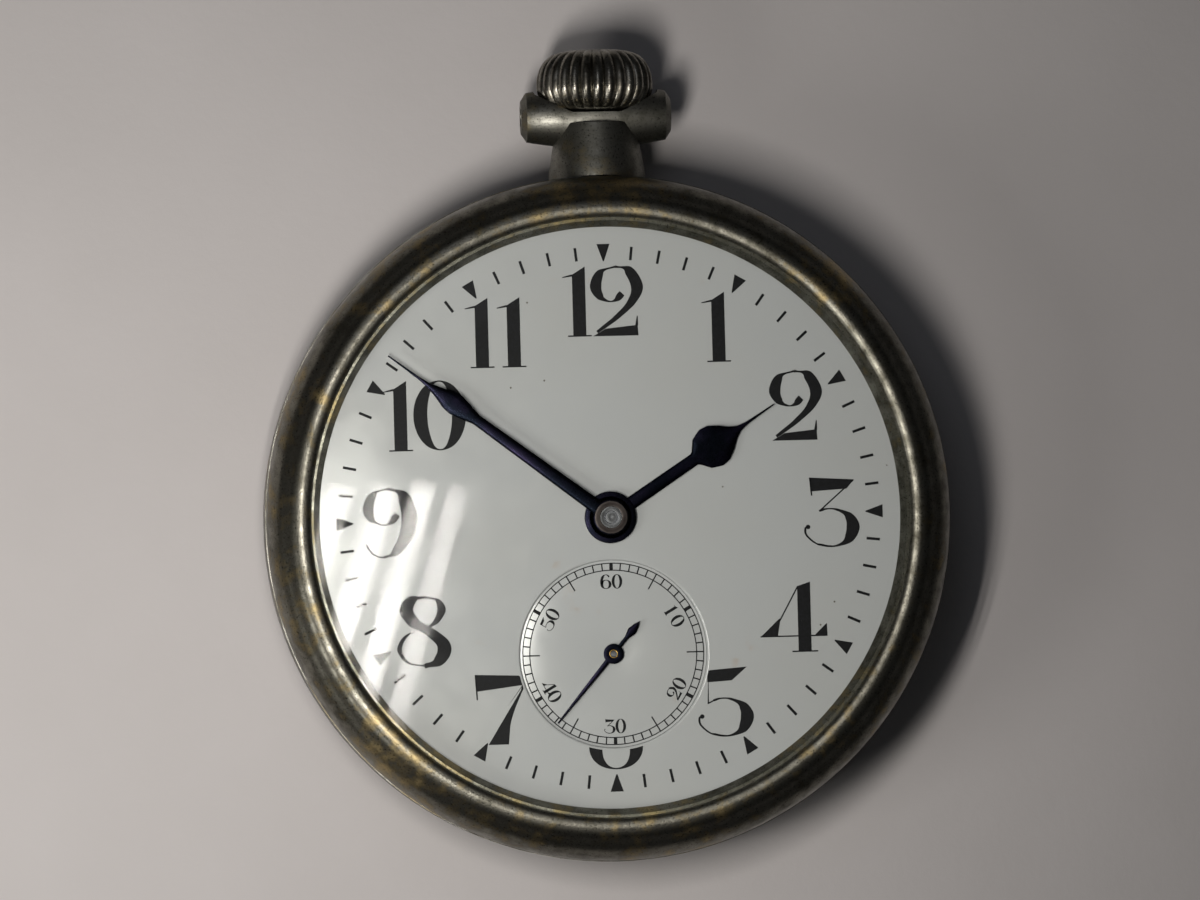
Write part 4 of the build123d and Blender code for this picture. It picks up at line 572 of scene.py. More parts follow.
# Numerals
@dataclass(frozen=True)
class Pen:
    """Broad pen held upright: upright strokes are thick and level strokes are hairlines."""

    thick: float
    thin: float
    contrast: float = 2.2

    def ribbon(self, points: Sequence[Point], steps: int = 14, closed: bool = False, across: int = 4,
               taper: tuple[float, float] = (1.0, 1.0), smooth: bool = True) -> Shell:
        """Flat stroke whose half width grows from thin to thick with the steepness of its path.

        Args:
            points: Path of the stroke's middle.
            steps: Samples for each stretch of a smooth path.
            closed: Whether the path closes on itself.
            across: Faces across the stroke.
            taper: Share of the thickness at the two ends.
            smooth: Whether the path is a smooth line and not straight runs.

        Returns:
            The stroke, level at height 0.
        """
        path = curve_through(points, steps, closed) if smooth else np.asarray(points, float)
        step = np.roll(path, -1, axis=0) - np.roll(path, 1, axis=0) if closed else np.gradient(path, axis=0)
        step /= np.linalg.norm(step, axis=1, keepdims=True) + 1e-12
        side = np.stack([-step[:, 1], step[:, 0]], axis=1)
        share = np.abs(step[:, 1]) ** self.contrast * np.linspace(taper[0], taper[1], len(path))
        half = 0.5 * (self.thin + (self.thick - self.thin) * share)
        u = np.linspace(-1, 1, across + 1)
        flat = path[:, None, :] + side[:, None, :] * (half[:, None] * u[None, :])[..., None]
        return Shell.grid(np.concatenate([flat, np.zeros((*flat.shape[:2], 1))], axis=2), wrap_rows=closed)


def patch(corners: Sequence[Point], steps: int = 10) -> Shell:
    """Flat four-sided patch: each point is the mean of the corners, weighted by its shares of the sides."""
    a, b, c, d = (np.array([*p, 0.0]) for p in corners)
    u, v = np.meshgrid(np.linspace(0, 1, steps + 1), np.linspace(0, 1, steps + 1), indexing="ij")
    u, v = u[..., None], v[..., None]
    return Shell.grid((1 - u) * (1 - v) * a + u * (1 - v) * b + u * v * c + (1 - u) * v * d)


def spot(x: float, y: float, radius: float) -> Shell:
    """Flat round dot, as rings of points about its middle."""
    a = np.linspace(0, TURN, 24, endpoint=False)[None, :]
    r = np.array([0.0, 0.5, 1.0])[:, None] * radius
    points = np.stack([x + r * np.cos(a), y + r * np.sin(a), 0 * r * a], axis=-1)
    return Shell.grid(points, wrap_columns=True)


def merged_shells(shells: Sequence[Shell]) -> Shell:
    """Several surfaces as one."""
    return shells[0].joined(*shells[1:])


@dataclass(frozen=True)
class Numerals:
    """Upright numerals with strong contrast, one unit high, with their middle at the origin.

    Attributes:
        thick: Width of an upright stroke as a share of the height.
        thin: Width of a hairline as a share of the height.
    """

    thick: float = 0.187
    thin: float = 0.020

    @property
    def pen(self) -> Pen:
        """Pen that draws the bowls."""
        return Pen(self.thick, self.thin)

    def hair(self, *points: Point) -> Shell:
        """Straight hairline through points."""
        return Pen(self.thin, self.thin).ribbon(points, across=2, smooth=False)

    def one(self) -> list[Shell]:
        """Slanted flag, stem and hairline foot."""
        h = self.thick / 2
        return [
            patch([(-h, -0.49), (h, -0.49), (h, 0.5), (-h, 0.385)]),
            patch([(-h, 0.36), (-h, 0.392), (-h - 0.14, 0.355), (-h - 0.14, 0.342)]),
            self.hair((-0.17, -0.49), (0.17, -0.49)),
        ]

    def two(self) -> list[Shell]:
        """Open bowl with an inner curl, a diagonal that thins out and a wedge foot with an upright serif."""
        head = [(0.07, 0.105), (-0.02, 0.015), (-0.12, -0.005), (-0.24, 0.06), (-0.305, 0.22), (-0.22, 0.42),
                (-0.02, 0.489), (0.16, 0.44), (0.285, 0.20)]
        tail = [(0.285, 0.20), (0.20, -0.02), (0.00, -0.22), (-0.20, -0.37), (-0.30, -0.44)]
        side = Pen(0.165, self.thin).ribbon(head[:7])
        return [
            side, Pen(0.225, self.thin, 1.5).ribbon(head[6:] + tail[1:], taper=(1.0, 0.25)),
            patch([(-0.36, -0.5), (0.29, -0.5), (0.28, -0.35), (-0.18, -0.395)]),
            patch([(0.245, -0.36), (0.29, -0.36), (0.285, -0.22), (0.272, -0.22)]),
        ]

    def bowl(self) -> list[Shell]:
        """Lower bowl that the three and the five share, open on the left, with a ball."""
        path = [(-0.17, 0.02), (-0.06, 0.048), (0.08, 0.035), (0.24, -0.05), (0.31, -0.22), (0.22, -0.41),
                (0.02, -0.489), (-0.20, -0.455), (-0.355, -0.33), (-0.375, -0.23), (-0.34, -0.195)]
        return [
            Pen(0.225, self.thin, 2.0).ribbon(path[:8], taper=(0.6, 1.0)),
            Pen(0.03, self.thin).ribbon(path[6:]),
            spot(-0.335, -0.205, 0.032),
        ]

    def three(self) -> list[Shell]:
        """Wedge bar with a serif, a hairline diagonal and the bowl."""
        return self.bowl() + [
            patch([(-0.30, 0.5), (-0.29, 0.30), (0.23, 0.33), (0.34, 0.46)]),
            patch([(-0.305, 0.5), (-0.275, 0.5), (-0.262, 0.24), (-0.282, 0.24)]),
            self.hair((0.33, 0.45), (-0.17, 0.015)),
        ]

    def four(self) -> list[Shell]:
        """Slanted stem, hairline to a wedge on the left and a cross hairline with a wedge on the right."""
        left, right = 0.060, 0.060 + self.thick
        return [
            patch([(left, -0.49), (right, -0.49), (right, 0.5), (left, 0.44)]),
            self.hair((left + 0.01, 0.44), (-0.20, -0.05)),
            patch([(-0.21, -0.02), (-0.19, -0.02), (-0.23, -0.26), (-0.48, -0.275)]),
            self.hair((-0.48, -0.27), (0.48, -0.27)),
            patch([(0.30, -0.26), (0.48, -0.27), (0.475, -0.10), (0.465, -0.10)]),
            self.hair((-0.03, -0.49), (0.34, -0.49)),
        ]

    def five(self) -> list[Shell]:
        """Wedge bar that sweeps to a point, a hairline down to the bowl."""
        return self.bowl() + [
            patch([(-0.25, 0.45), (-0.25, 0.28), (0.10, 0.30), (0.32, 0.49)]),
            self.hair((-0.245, 0.44), (-0.245, -0.03)),
            self.hair((-0.245, -0.02), (-0.12, 0.04)),
        ]

    def six(self) -> list[Shell]:
        """Ring below and a thick back that rises from it."""
        a = np.linspace(0, TURN, 24, endpoint=False)
        ring = np.stack([0.29 * np.sin(a), -0.19 + 0.30 * np.cos(a)], axis=1)
        back = [(0.20, 0.40), (0.02, 0.489), (-0.18, 0.40), (-0.30, 0.12), (-0.31, -0.15)]
        return [self.pen.ribbon(ring, 4, closed=True), self.pen.ribbon(back), spot(0.20, 0.36, 0.06)]

    def seven(self) -> list[Shell]:
        """Wedge bar with a serif and a stem that widens to its foot."""
        return [
            patch([(-0.38, 0.5), (-0.36, 0.26), (0.30, 0.34), (0.40, 0.47)]),
            patch([(-0.385, 0.5), (-0.36, 0.5), (-0.345, 0.14), (-0.365, 0.14)]),
            patch([(0.20, 0.20), (0.39, 0.46), (0.38, 0.46), (0.06, 0.02)]),
            patch([(-0.21, -0.5), (0.08, -0.5), (0.115, -0.12), (0.39, 0.46)]),
        ]

    def eight(self) -> list[Shell]:
        """Thick spine from upper left to lower right, with lighter strokes closing both rings."""
        spine = [(0.05, 0.489), (-0.14, 0.455), (-0.235, 0.31), (-0.13, 0.13), (0.08, 0.00), (0.26, -0.16),
                 (0.285, -0.30), (0.18, -0.44), (0.00, -0.489)]
        upper = [(0.05, 0.489), (0.20, 0.44), (0.262, 0.30), (0.18, 0.14), (0.07, 0.06)]
        lower = [(0.00, -0.489), (-0.22, -0.44), (-0.345, -0.27), (-0.28, -0.09), (-0.13, 0.01)]
        return [
            Pen(0.20, self.thin, 0.75).ribbon(spine),
            Pen(0.125, self.thin).ribbon(upper),
            Pen(0.07, self.thin).ribbon(lower),
        ]

    def nine(self) -> list[Shell]:
        """The six turned half way round, with an open curl."""
        head = [(0.12, 0.12), (0.02, 0.00), (-0.10, -0.025), (-0.24, 0.05), (-0.29, 0.22), (-0.20, 0.42),
                (0.0, 0.489)]
        back = [(0.0, 0.489), (0.19, 0.40), (0.29, 0.12), (0.24, -0.18), (0.08, -0.42), (-0.08, -0.489),
                (-0.24, -0.44), (-0.33, -0.30)]
        return [Pen(0.15, self.thin).ribbon(head), Pen(0.225, self.thin, 2.0).ribbon(back[:6]),
                Pen(0.04, self.thin).ribbon(back[4:])]

    def nought(self) -> list[Shell]:
        """Tall ring with thick sides, slightly pointed at the top and the bottom."""
        a = np.linspace(0, TURN, 28, endpoint=False)
        ring = np.stack([0.275 * np.sin(a) * (1 - 0.06 * np.cos(a) ** 2), 0.489 * np.cos(a)], axis=1)
        return [Pen(0.20, self.thin, 3.2).ribbon(ring, 4, closed=True)]

    def glyph(self, digit: str) -> Shell:
        """The numeral as one flat surface."""
        makers = [self.nought, self.one, self.two, self.three, self.four, self.five, self.six, self.seven,
                  self.eight, self.nine]
        return merged_shells(makers[int(digit)]())

    def pair(self, text: str, spacing: float, one_out: float = 0.10) -> Shell:
        """Two digits side by side, spacing apart; a narrow one in front stands out by one_out."""
        first, second = (self.glyph(digit) for digit in text)
        out = one_out if text[0] == "1" else 0.0
        return first.moved(x=-spacing / 2 - out).joined(second.moved(x=spacing / 2))


# Dial
@dataclass
class EnamelDial:
    """Main dial: a slightly domed disc with a centre hole and the seconds opening, and its print."""

    centre_hole_r: float = 1.60
    sink_r: float = 6.95
    bevel: float = 0.17
    dome: float = 0.06
    top_drop: float = 0.004
    spokes: int = 320
    ink_t: float = 0.012
    hour_h: float = 5.2
    minute_out_r: float = 20.15
    minute_in_r: float = 19.15
    minute_w: float = 0.20
    mark_out_r: float = 20.30
    mark_in_r: float = 19.02
    mark_w: float = 0.98
    numerals: Numerals = field(default_factory=Numerals)

    def __post_init__(self) -> None:
        """Takes the dial's place from the frame."""
        high = box_mm("dial")[1]
        sunk_low = box_mm("seconds_dial")[0]
        self.radius = high.x
        self.top = high.z
        self.bottom = sunk_low.z + 0.30
        self.sink_at = middle_mm("seconds_dial")
        self.edge_r = self.sink_r + self.bevel

    def height(self, x: np.ndarray, y: np.ndarray) -> np.ndarray:
        """Height of the enamel: highest in the middle, falling by the dome's share of the radius squared."""
        return self.top - self.top_drop - self.dome * (x ** 2 + y ** 2) / self.radius ** 2

    def outside_sink(self, points: np.ndarray, limit_r: float) -> np.ndarray:
        """Points moved straight away from the seconds opening's middle until they are limit_r from it."""
        offset = points[:, :2] - np.array(self.sink_at)
        away = np.linalg.norm(offset, axis=1)
        inside = away < limit_r
        points = points.copy()
        points[inside, :2] = np.array(self.sink_at) + offset[inside] * (limit_r / away[inside])[:, None]
        return points

    def clipped(self, shell: Shell, limit_r: float) -> Shell:
        """Surface without the faces inside the opening, its border moved on to the opening's edge."""
        away = np.linalg.norm(shell.points[:, :2] - np.array(self.sink_at), axis=1)
        faces = [g[(away[g] > limit_r).any(axis=1)] for g in shell.faces]
        return Shell(self.outside_sink(shell.points, limit_r), [g for g in faces if len(g)])

    def draped(self, shell: Shell, lift: float) -> Shell:
        """Surface laid on the enamel, lifted by a little."""
        points = shell.points.copy()
        points[:, 2] = self.height(points[:, 0], points[:, 1]) + lift
        return Shell(points, shell.faces)

    def plate(self) -> None:
        """Disc of rings and spokes, clipped at the seconds opening, with rounded rims all round."""
        r = np.linspace(self.centre_hole_r + self.bevel, self.radius - self.bevel, 96)[:, None]
        a = np.linspace(0, TURN, self.spokes, endpoint=False)[None, :]
        top = Shell.grid(np.stack([r * np.cos(a), r * np.sin(a), 0 * r * a], axis=-1), wrap_columns=True)
        top = self.draped(self.clipped(top, self.edge_r), 0.0)
        q = np.linspace(0, pi / 2, 7)
        middle_z = self.top - self.top_drop
        parts = [top]
        for inner_r, centre, sign in ((self.centre_hole_r, (0.0, 0.0), 1), (self.sink_r, self.sink_at, 1),
                                      (self.radius, (0.0, 0.0), -1)):
            rim_r, rim_z = inner_r + sign * self.bevel * (1 - np.cos(q)), -self.bevel * (1 - np.sin(q))
            rim = np.stack([rim_r, rim_z], axis=1)
            wall = np.array([[inner_r, self.bottom - middle_z]])
            ring = lathe(np.vstack([wall, rim]), self.spokes, centre, closed=False)
            base = self.height(ring.points[:, 0], ring.points[:, 1])
            share = np.clip((ring.points[:, 2] + 2 * self.bevel) / (2 * self.bevel), 0, 1)
            ring.points[:, 2] += middle_z + (base - middle_z) * share
            parts.append(ring)
        level = np.stack([r * np.cos(a), r * np.sin(a), 0 * r * a + self.bottom], axis=-1)
        parts.append(self.clipped(Shell.grid(level, wrap_columns=True), self.sink_r))
        piece = merged_shells(parts).piece("dial_enamel", ENAMEL, "case", Slot.ENAMEL)
        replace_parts(piece, "dial")

    def hour_words(self) -> list[Shell]:
        """Hour numerals, upright, each at its place on the dial."""
        places = [("1", 8.42, 13.95), ("2", 14.08, 8.0), ("3", 16.45, 0.0), ("4", 13.45, -7.72),
                  ("5", 8.2, -13.85), ("6", 0.0, -16.05), ("7", -8.35, -14.0), ("8", -14.05, -8.1),
                  ("9", -16.4, 0.0), ("1", -15.36, 7.87), ("0", -12.45, 7.87), ("1", -9.17, 13.9),
                  ("1", -6.80, 13.9), ("1", -1.89, 16.06), ("2", 0.96, 16.06)]
        return [self.numerals.glyph(digit).scaled(self.hour_h).moved(x, y) for digit, x, y in places]

    def minute_marks(self) -> list[Shell]:
        """A bar at each minute and a triangle that points inwards at each hour."""
        marks = []
        for minute in range(60):
            if minute % 5:
                w = self.minute_w / 2
                bar = patch([(-w, self.minute_in_r), (w, self.minute_in_r), (w, self.minute_out_r),
                             (-w, self.minute_out_r)], 2)
            else:
                w = self.mark_w / 2
                bar = patch([(-0.04, self.mark_in_r), (0.04, self.mark_in_r), (w, self.mark_out_r),
                             (-w, self.mark_out_r)], 2)
            marks.append(bar.moved(clockwise_deg=6 * minute))
        return marks

    def build(self) -> None:
        """Makes the enamel disc and the print on it."""
        self.plate()
        ink = self.clipped(merged_shells(self.hour_words() + self.minute_marks()), self.edge_r + 0.03)
        self.draped(ink, self.ink_t).piece("dial_print", INK, "case", Slot.INK)


@dataclass
class SunkSecondsDial:
    """Sunk seconds dial with its ring track and figures."""

    radius: float = 6.94
    hole_r: float = 0.45
    track_out_r: float = 6.72
    track_in_r: float = 6.20
    line_w: float = 0.075
    long_in_r: float = 5.45
    figure_r: float = 5.36
    figure_h: float = 1.05
    figure_spacing: float = 0.78
    block_w: float = 0.26
    flange_t: float = 0.30

    def __post_init__(self) -> None:
        """Takes the dial's place from the frame."""
        low, high = box_mm("seconds_dial")
        self.at = middle_mm("seconds_dial")
        self.top, self.bottom = high.z, low.z
        self.flange_r = (high.x - low.x) / 2

    def plate(self) -> None:
        """Disc with a flange behind and a hole for the seconds arbor."""
        ledge = self.bottom + self.flange_t
        profile = eased([(self.hole_r, self.bottom), (self.flange_r, self.bottom), (self.flange_r, ledge),
                         (self.radius, ledge), (self.radius, self.top), (self.hole_r, self.top)], 0.05)
        piece = lathe(profile, 240, self.at).piece("seconds_dial_enamel", ENAMEL, "case", Slot.ENAMEL)
        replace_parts(piece, "seconds_dial")

    def ring(self, radius: float) -> Shell:
        """Thin printed circle."""
        a = np.linspace(0, TURN, 240, endpoint=False)[None, :]
        r = radius + self.line_w * np.array([-0.5, 0.5])[:, None]
        return Shell.grid(np.stack([r * np.sin(a), r * np.cos(a), 0 * r * a], axis=-1), wrap_columns=True)

    def build(self) -> None:
        """Makes the disc and its print."""
        self.plate()
        marks = [self.ring(self.track_out_r), self.ring(self.track_in_r)]
        for second in range(60):
            w = (self.block_w if second % 10 == 0 else 1.3 * self.line_w) / 2
            low = self.long_in_r if second % 10 == 5 else self.track_in_r
            bar = patch([(-w, low), (w, low), (w, self.track_out_r), (-w, self.track_out_r)], 1)
            marks.append(bar.moved(clockwise_deg=6 * second))
        small = Numerals(thick=0.20, thin=0.045)
        for index, (text, tilt) in enumerate(zip(("60", "10", "20", "30", "40", "50"), (0, 60, -60) * 2)):
            figure = small.pair(text, self.figure_spacing).scaled(self.figure_h).moved(clockwise_deg=tilt)
            angle = index * TURN / 6
            marks.append(figure.moved(self.figure_r * sin(angle), self.figure_r * cos(angle)))
        ink = merged_shells(marks).moved(self.at[0], self.at[1], self.top + 0.010)
        ink.piece("seconds_dial_print", INK, "case", Slot.INK)


# Hands
@dataclass
class Hands:
    """Pear hour hand, leaf minute hand and slim seconds hand, with bevelled faces."""

    hour_deg: float = 56.8
    minute_deg: float = 307.3
    seconds_deg: float = 220.2
    hour: Sequence[Point] = (
        (0.50, 0.0), (0.47, 7.57), (0.60, 7.75), (1.28, 8.30), (1.60, 9.10), (1.50, 9.75), (1.06, 10.45),
        (0.55, 11.05), (0.25, 11.60), (0.12, 12.30), (0.05, 14.75))
    minute: Sequence[Point] = (
        (0.55, 0.0), (0.40, 12.30), (0.60, 13.15), (0.82, 14.20), (0.72, 14.90), (0.42, 15.75), (0.20, 16.60),
        (0.11, 17.40), (0.05, 20.35))
    needle: Sequence[Point] = ((0.21, 0.0), (0.15, 3.0), (0.06, 6.60))
    tail: Sequence[Point] = ((0.14, 0.0), (0.15, 1.55), (0.33, 2.15), (0.20, 2.70), (0.03, 3.05))
    hour_hub_r: float = 1.92
    hour_ring_r: float = 1.62
    hour_bore_r: float = 1.25
    minute_hub_r: float = 1.30
    minute_bore_r: float = 0.80
    minute_t: float = 0.20
    cap_r: float = 1.22
    cap_t: float = 0.10
    seconds_hub_r: float = 0.75
    pipe_r: float = 0.33
    arbor_r: float = 0.24
    pipe_drop: float = 0.10
    needle_t: float = 0.15
    seam: float = 0.05

    @staticmethod
    def blade(outline: Sequence[Point], low: float, high: float, crown: float = 0.35) -> Shell:
        """Bar whose section follows an outline of (half width, distance) points.

        At each distance the section is a closed loop: flat below, upright sides for part of the thickness,
        then a low arch, so that the width is twice the outline's.
        """
        stretches = [np.linspace(a, b, 6, endpoint=False) for a, b in zip(outline, outline[1:])]
        line = np.vstack([*stretches, [outline[-1]]])
        u = np.array([-1, -1, -0.86, -0.45, 0, 0.45, 0.86, 1, 1, 0])
        drop = crown * np.array([1, 0.35, 0.06, 0, 0.06, 0.35, 1])
        rise = np.array([0, *(1 - drop), 0, 0])
        x = line[:, 0][:, None] * u[None, :]
        y = line[:, 1][:, None] + 0 * x
        z = low + (high - low) * rise[None, :] + 0 * x
        body = Shell.grid(np.stack([x, y, z], axis=-1), wrap_columns=True)
        count = len(u)
        around = np.arange(count)
        ends = []
        for row in (0, len(line) - 1):
            ring = np.stack([x[row], y[row], z[row]], axis=-1)
            middle = np.array([[0.0, line[row, 1], (low + high) / 2]])
            fan = np.stack([around, (around + 1) % count, 0 * around + count], axis=1)
            ends.append(Shell(np.vstack([ring, middle]), [fan]))
        return body.joined(*ends)

    @staticmethod
    def collar(outer: float, inner: float, low: float, high: float, ease: float = 0.06) -> Shell:
        """Ring with eased edges."""
        return lathe(eased([(inner, low), (outer, low), (outer, high), (inner, high)], ease), 96)

    def build(self) -> None:
        """Makes the three hands at their rest angles."""
        low, high = box_mm("hour_hand")
        hub = self.collar(self.hour_hub_r, self.hour_bore_r, low.z, high.z)
        ring = self.collar(self.hour_ring_r, self.hour_bore_r, low.z, high.z)
        hour = self.blade(self.hour, low.z + self.seam, high.z - self.seam).joined(hub, ring)
        hour = hour.moved(clockwise_deg=self.hour_deg)
        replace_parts(hour.piece("hour_hand_blade", HAND, "hour_gear", Slot.HANDS), "hour_hand")
        low, high = box_mm("minute_hand")
        hub = self.collar(self.minute_hub_r, self.minute_bore_r, low.z, high.z - self.seam)
        minute = self.blade(self.minute, low.z, low.z + self.minute_t).joined(hub)
        minute = minute.moved(clockwise_deg=self.minute_deg)
        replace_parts(minute.piece("minute_hand_blade", HAND, "cannon", Slot.HANDS), "minute_hand")
        cap = self.collar(self.cap_r, self.minute_bore_r, high.z - self.cap_t, high.z, 0.04)
        cap.piece("minute_hand_cap", CAP, "cannon", Slot.STEEL)
        self.seconds()

    def seconds(self) -> None:
        """Needle, leaf tail, hub and brass pipe of the seconds hand."""
        low, high = box_mm("seconds_hand")
        at = middle_mm("seconds_dial")
        base = low.z + self.pipe_drop
        top = base + self.needle_t
        needle = self.blade(self.needle, base, top)
        tail = self.blade(self.tail, base, top).moved(clockwise_deg=180)
        hub = self.collar(self.seconds_hub_r, self.arbor_r, base, top + 0.03, 0.04)
        hand = needle.joined(tail, hub).moved(clockwise_deg=self.seconds_deg).moved(*at)
        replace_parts(hand.piece("seconds_hand_blade", HAND, "fourth", Slot.HANDS), "seconds_hand")
        pipe = self.collar(self.pipe_r, self.arbor_r, low.z, high.z, 0.03).moved(*at)
        pipe.piece("seconds_hand_pipe", PIPE, "fourth", Slot.STEEL)


# Case
@dataclass
class Case:
    """Bezel, crystal, band, back and dust covers, pendant and crown."""

    opening_r: float = 21.55
    glass_r: float = 22.45
    glass_edge: float = 0.45
    glass_hollow: float = 0.80
    ribs: int = 28
    rib_depth: float = 0.30

    def __post_init__(self) -> None:
        """Takes the levels from the frame."""
        low, high = box_mm("bezel")
        self.foot_z, self.crest_z, self.outer_r = low.z, high.z, high.x
        low, high = box_mm("crystal")
        self.glass_z, self.glass_top = low.z, high.z

    def bezel(self) -> None:
        """Ring carried round a profile: lip, slope, crystal groove, rolled crest and a long convex flank.

        Slow waves of a hundredth of a millimetre along the ring stand for the wear of its crest.
        """
        o, g, top, out, foot = self.opening_r, self.glass_r, self.crest_z, self.outer_r, self.foot_z
        glass_z = self.glass_z
        inside = np.array([(out, foot), (24.30, foot), (24.30, 10.35), (22.60, 10.95), (o + 0.04, 10.95),
                           (o, 10.99), (o, 11.16), (o + 0.03, 11.22), (o + 0.45, glass_z), (g, glass_z),
                           (g, glass_z + 0.47), (g - 0.22, glass_z + 0.53), (g - 0.25, glass_z + 0.56)])
        crest = curve_through([(g - 0.22, top - 0.30), (g - 0.08, top - 0.14), (g + 0.20, top - 0.03),
                               (g + 0.60, top - 0.004), (g + 1.10, top - 0.16), (out - 1.35, top - 0.62),
                               (out - 0.75, top - 1.16), (out - 0.33, top - 1.85), (out - 0.08, top - 2.70),
                               (out - 0.01, foot + 0.05)], 7)
        shell = lathe(np.vstack([inside, crest]), 360)
        x, y, z = shell.points.T
        a = np.arctan2(y, x)
        wave = (np.sin(5 * a + 0.4) + 0.7 * np.sin(11 * a + 1.9) + 0.5 * np.sin(17 * a + 0.7) - 2.2) * 0.006
        worn = np.clip((z - (top - 0.9)) / 0.9, 0, 1)
        shell.points[:, 2] += wave * worn
        piece = shell.piece("bezel_ring", BEZEL_METAL, "front", Slot.NICKEL_SILVER, crease_deg=48)
        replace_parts(piece, "bezel")

    def crystal(self) -> None:
        """Two shallow domes, each lower towards the rim as the radius squared, joined by an upright edge."""
        t = np.linspace(0, 1, 40)
        r = self.glass_r * t
        edge_z = self.glass_z + self.glass_edge
        under = np.stack([r, self.glass_z + self.glass_hollow * (1 - t ** 2)], axis=1)
        over = np.stack([r, edge_z + (self.glass_top - edge_z) * (1 - t ** 2)], axis=1)
        shell = lathe(np.vstack([under, over[::-1]]), 288, closed=False)
        piece = shell.piece("crystal_dome", GLASS, "front", Slot.GLASS, crease_deg=35)
        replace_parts(piece, "crystal")

    def smoothed(self, node: str, name: str, finish: Finish, body: str, crease_deg: float = 28.0,
                 round_mm: float = 0.0) -> bpy.types.Object:
        """Copy of a CAD node with its triangles merged and its curves smooth, which stands for the node.

        Args:
            node: CAD node that is copied.
            name: Name of the new piece.
            finish: Its finish.
            body: CAD body that it rides on.
            crease_deg: Edges that turn by more stay sharp.
            round_mm: Width of the rounding of sharp edges; none at 0.

        Returns:
            The new piece.
        """
        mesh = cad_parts[node].data.copy()
        mesh.name = name
        if "custom_normal" in mesh.attributes:
            mesh.attributes.remove(mesh.attributes["custom_normal"])
        work = bmesh.new()
        work.from_mesh(mesh)
        bmesh.ops.remove_doubles(work, verts=work.verts, dist=2e-6)
        bmesh.ops.dissolve_degenerate(work, edges=work.edges, dist=1e-7)
        bmesh.ops.recalc_face_normals(work, faces=work.faces)
        work.to_mesh(mesh)
        work.free()
        mesh.materials.clear()
        mesh.materials.append(finish.material())
        mesh.shade_smooth()
        mesh.set_sharp_from_angle(angle=radians(crease_deg))
        piece = bpy.data.objects.new(name, mesh)
        bpy.context.scene.collection.objects.link(piece)
        if round_mm:
            bevel = piece.modifiers.new("worn_edges", "BEVEL")
            bevel.width, bevel.segments, bevel.limit_method = round_mm * MM, 2, "ANGLE"
            bevel.angle_limit = radians(crease_deg + 10)
        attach(piece, body)
        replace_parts(piece, node)
        log.info("%s: %d faces", name, len(mesh.polygons))
        return piece

    def crown(self) -> None:
        """Onion crown: a radius that swells and falls along the axis, scalloped by ribs.

        At share s of the height the hull's radius follows a smooth line; the ribs take off their depth times
        one minus the root of the absolute cosine of half the rib angle, so each rib is a convex half round.
        """
        low, high = box_mm("crown")
        axis_z, height = (low.z + high.z) / 2, high.y - low.y
        out = (high.x - low.x) / 2
        hull = curve_through([(0.58 * out, 0.0), (0.76 * out, 0.035), (0.90 * out, 0.14), (0.985 * out, 0.30),
                              (1.0 * out, 0.45), (0.975 * out, 0.62), (0.90 * out, 0.78), (0.75 * out, 0.915),
                              (0.52 * out, 0.980), (0.27 * out, 0.996), (0.0, 1.0)], 7)
        flat = np.array([[0.0, 0.0], [0.40 * out, 0.0]])
        line = np.vstack([flat, hull])
        a = np.linspace(0, TURN, self.ribs * 14, endpoint=False)[None, :]
        r, s = line[:, 0][:, None], line[:, 1][:, None]
        rib = np.abs(np.cos(self.ribs * a / 2)) ** 0.75
        reach = np.clip((r / out - 0.30) / 0.45, 0, 1) * (0.35 + 0.65 * np.clip(s / 0.08, 0, 1))
        r = r - self.rib_depth * reach * (1 - rib)
        y = low.y + height * s + 0 * r
        points = np.stack([r * np.sin(a), y, axis_z + r * np.cos(a)], axis=-1)
        shell = Shell.grid(points, wrap_columns=True)
        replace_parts(shell.piece("crown_onion", CROWN_METAL, "stem", Slot.CROWN, 60), "crown")

    def build(self) -> None:
        """Makes every piece of the case."""
        self.bezel()
        self.crystal()
        self.smoothed("case_middle", "band", CASE_METAL, "case")
        self.smoothed("pendant", "pendant_head", CASE_METAL, "case", 30, 0.05)
        self.smoothed("back_cover", "back_cover_shell", BACK_METAL, "back")
        self.smoothed("dust_cover", "dust_cover_shell", GILT_DUST, "dust")
        self.crown()


# Movement
@dataclass
class Movement:
    """Finishes of the movement's pieces, which keep their CAD shapes."""

    finishes: dict[Finish, str] = field(default_factory=lambda: {
        GRAINED_PLATE: "main_plate pallet_cock",
        PLATE: "barrel_bridge train_bridge balance_cock",
        RUBY: "fixed_jewels pallet_stones impulse_pin",
        GILT: ("barrel_drum barrel_cover centre_wheel third_wheel fourth_wheel balance_wheel timing_screws "
               "minute_wheel hour_wheel"),
        STEEL_WHEEL: "crown_wheel ratchet_wheel setting_wheel escape_wheel",
        BLUED: "bridge_screws ratchet_screw crown_wheel_screw hairspring",
        STEEL: ("case_screws dial_screws hairspring_stud regulator click winding_stem winding_pinion "
                "clutch_wheel barrel_arbor centre_arbor third_arbor fourth_arbor escape_arbor pallet_fork "
                "pallet_arbor balance_staff roller cannon_pinion hinge_pin"),
        SPRING: "mainspring click_spring",
    })

    def build(self) -> None:
        """Gives each CAD node its material."""
        for finish, names in self.finishes.items():
            for name in names.split():
                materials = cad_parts[name].data.materials
                materials.clear()
                materials.append(finish.material())
                log.info("%s: %s", name, finish.name)


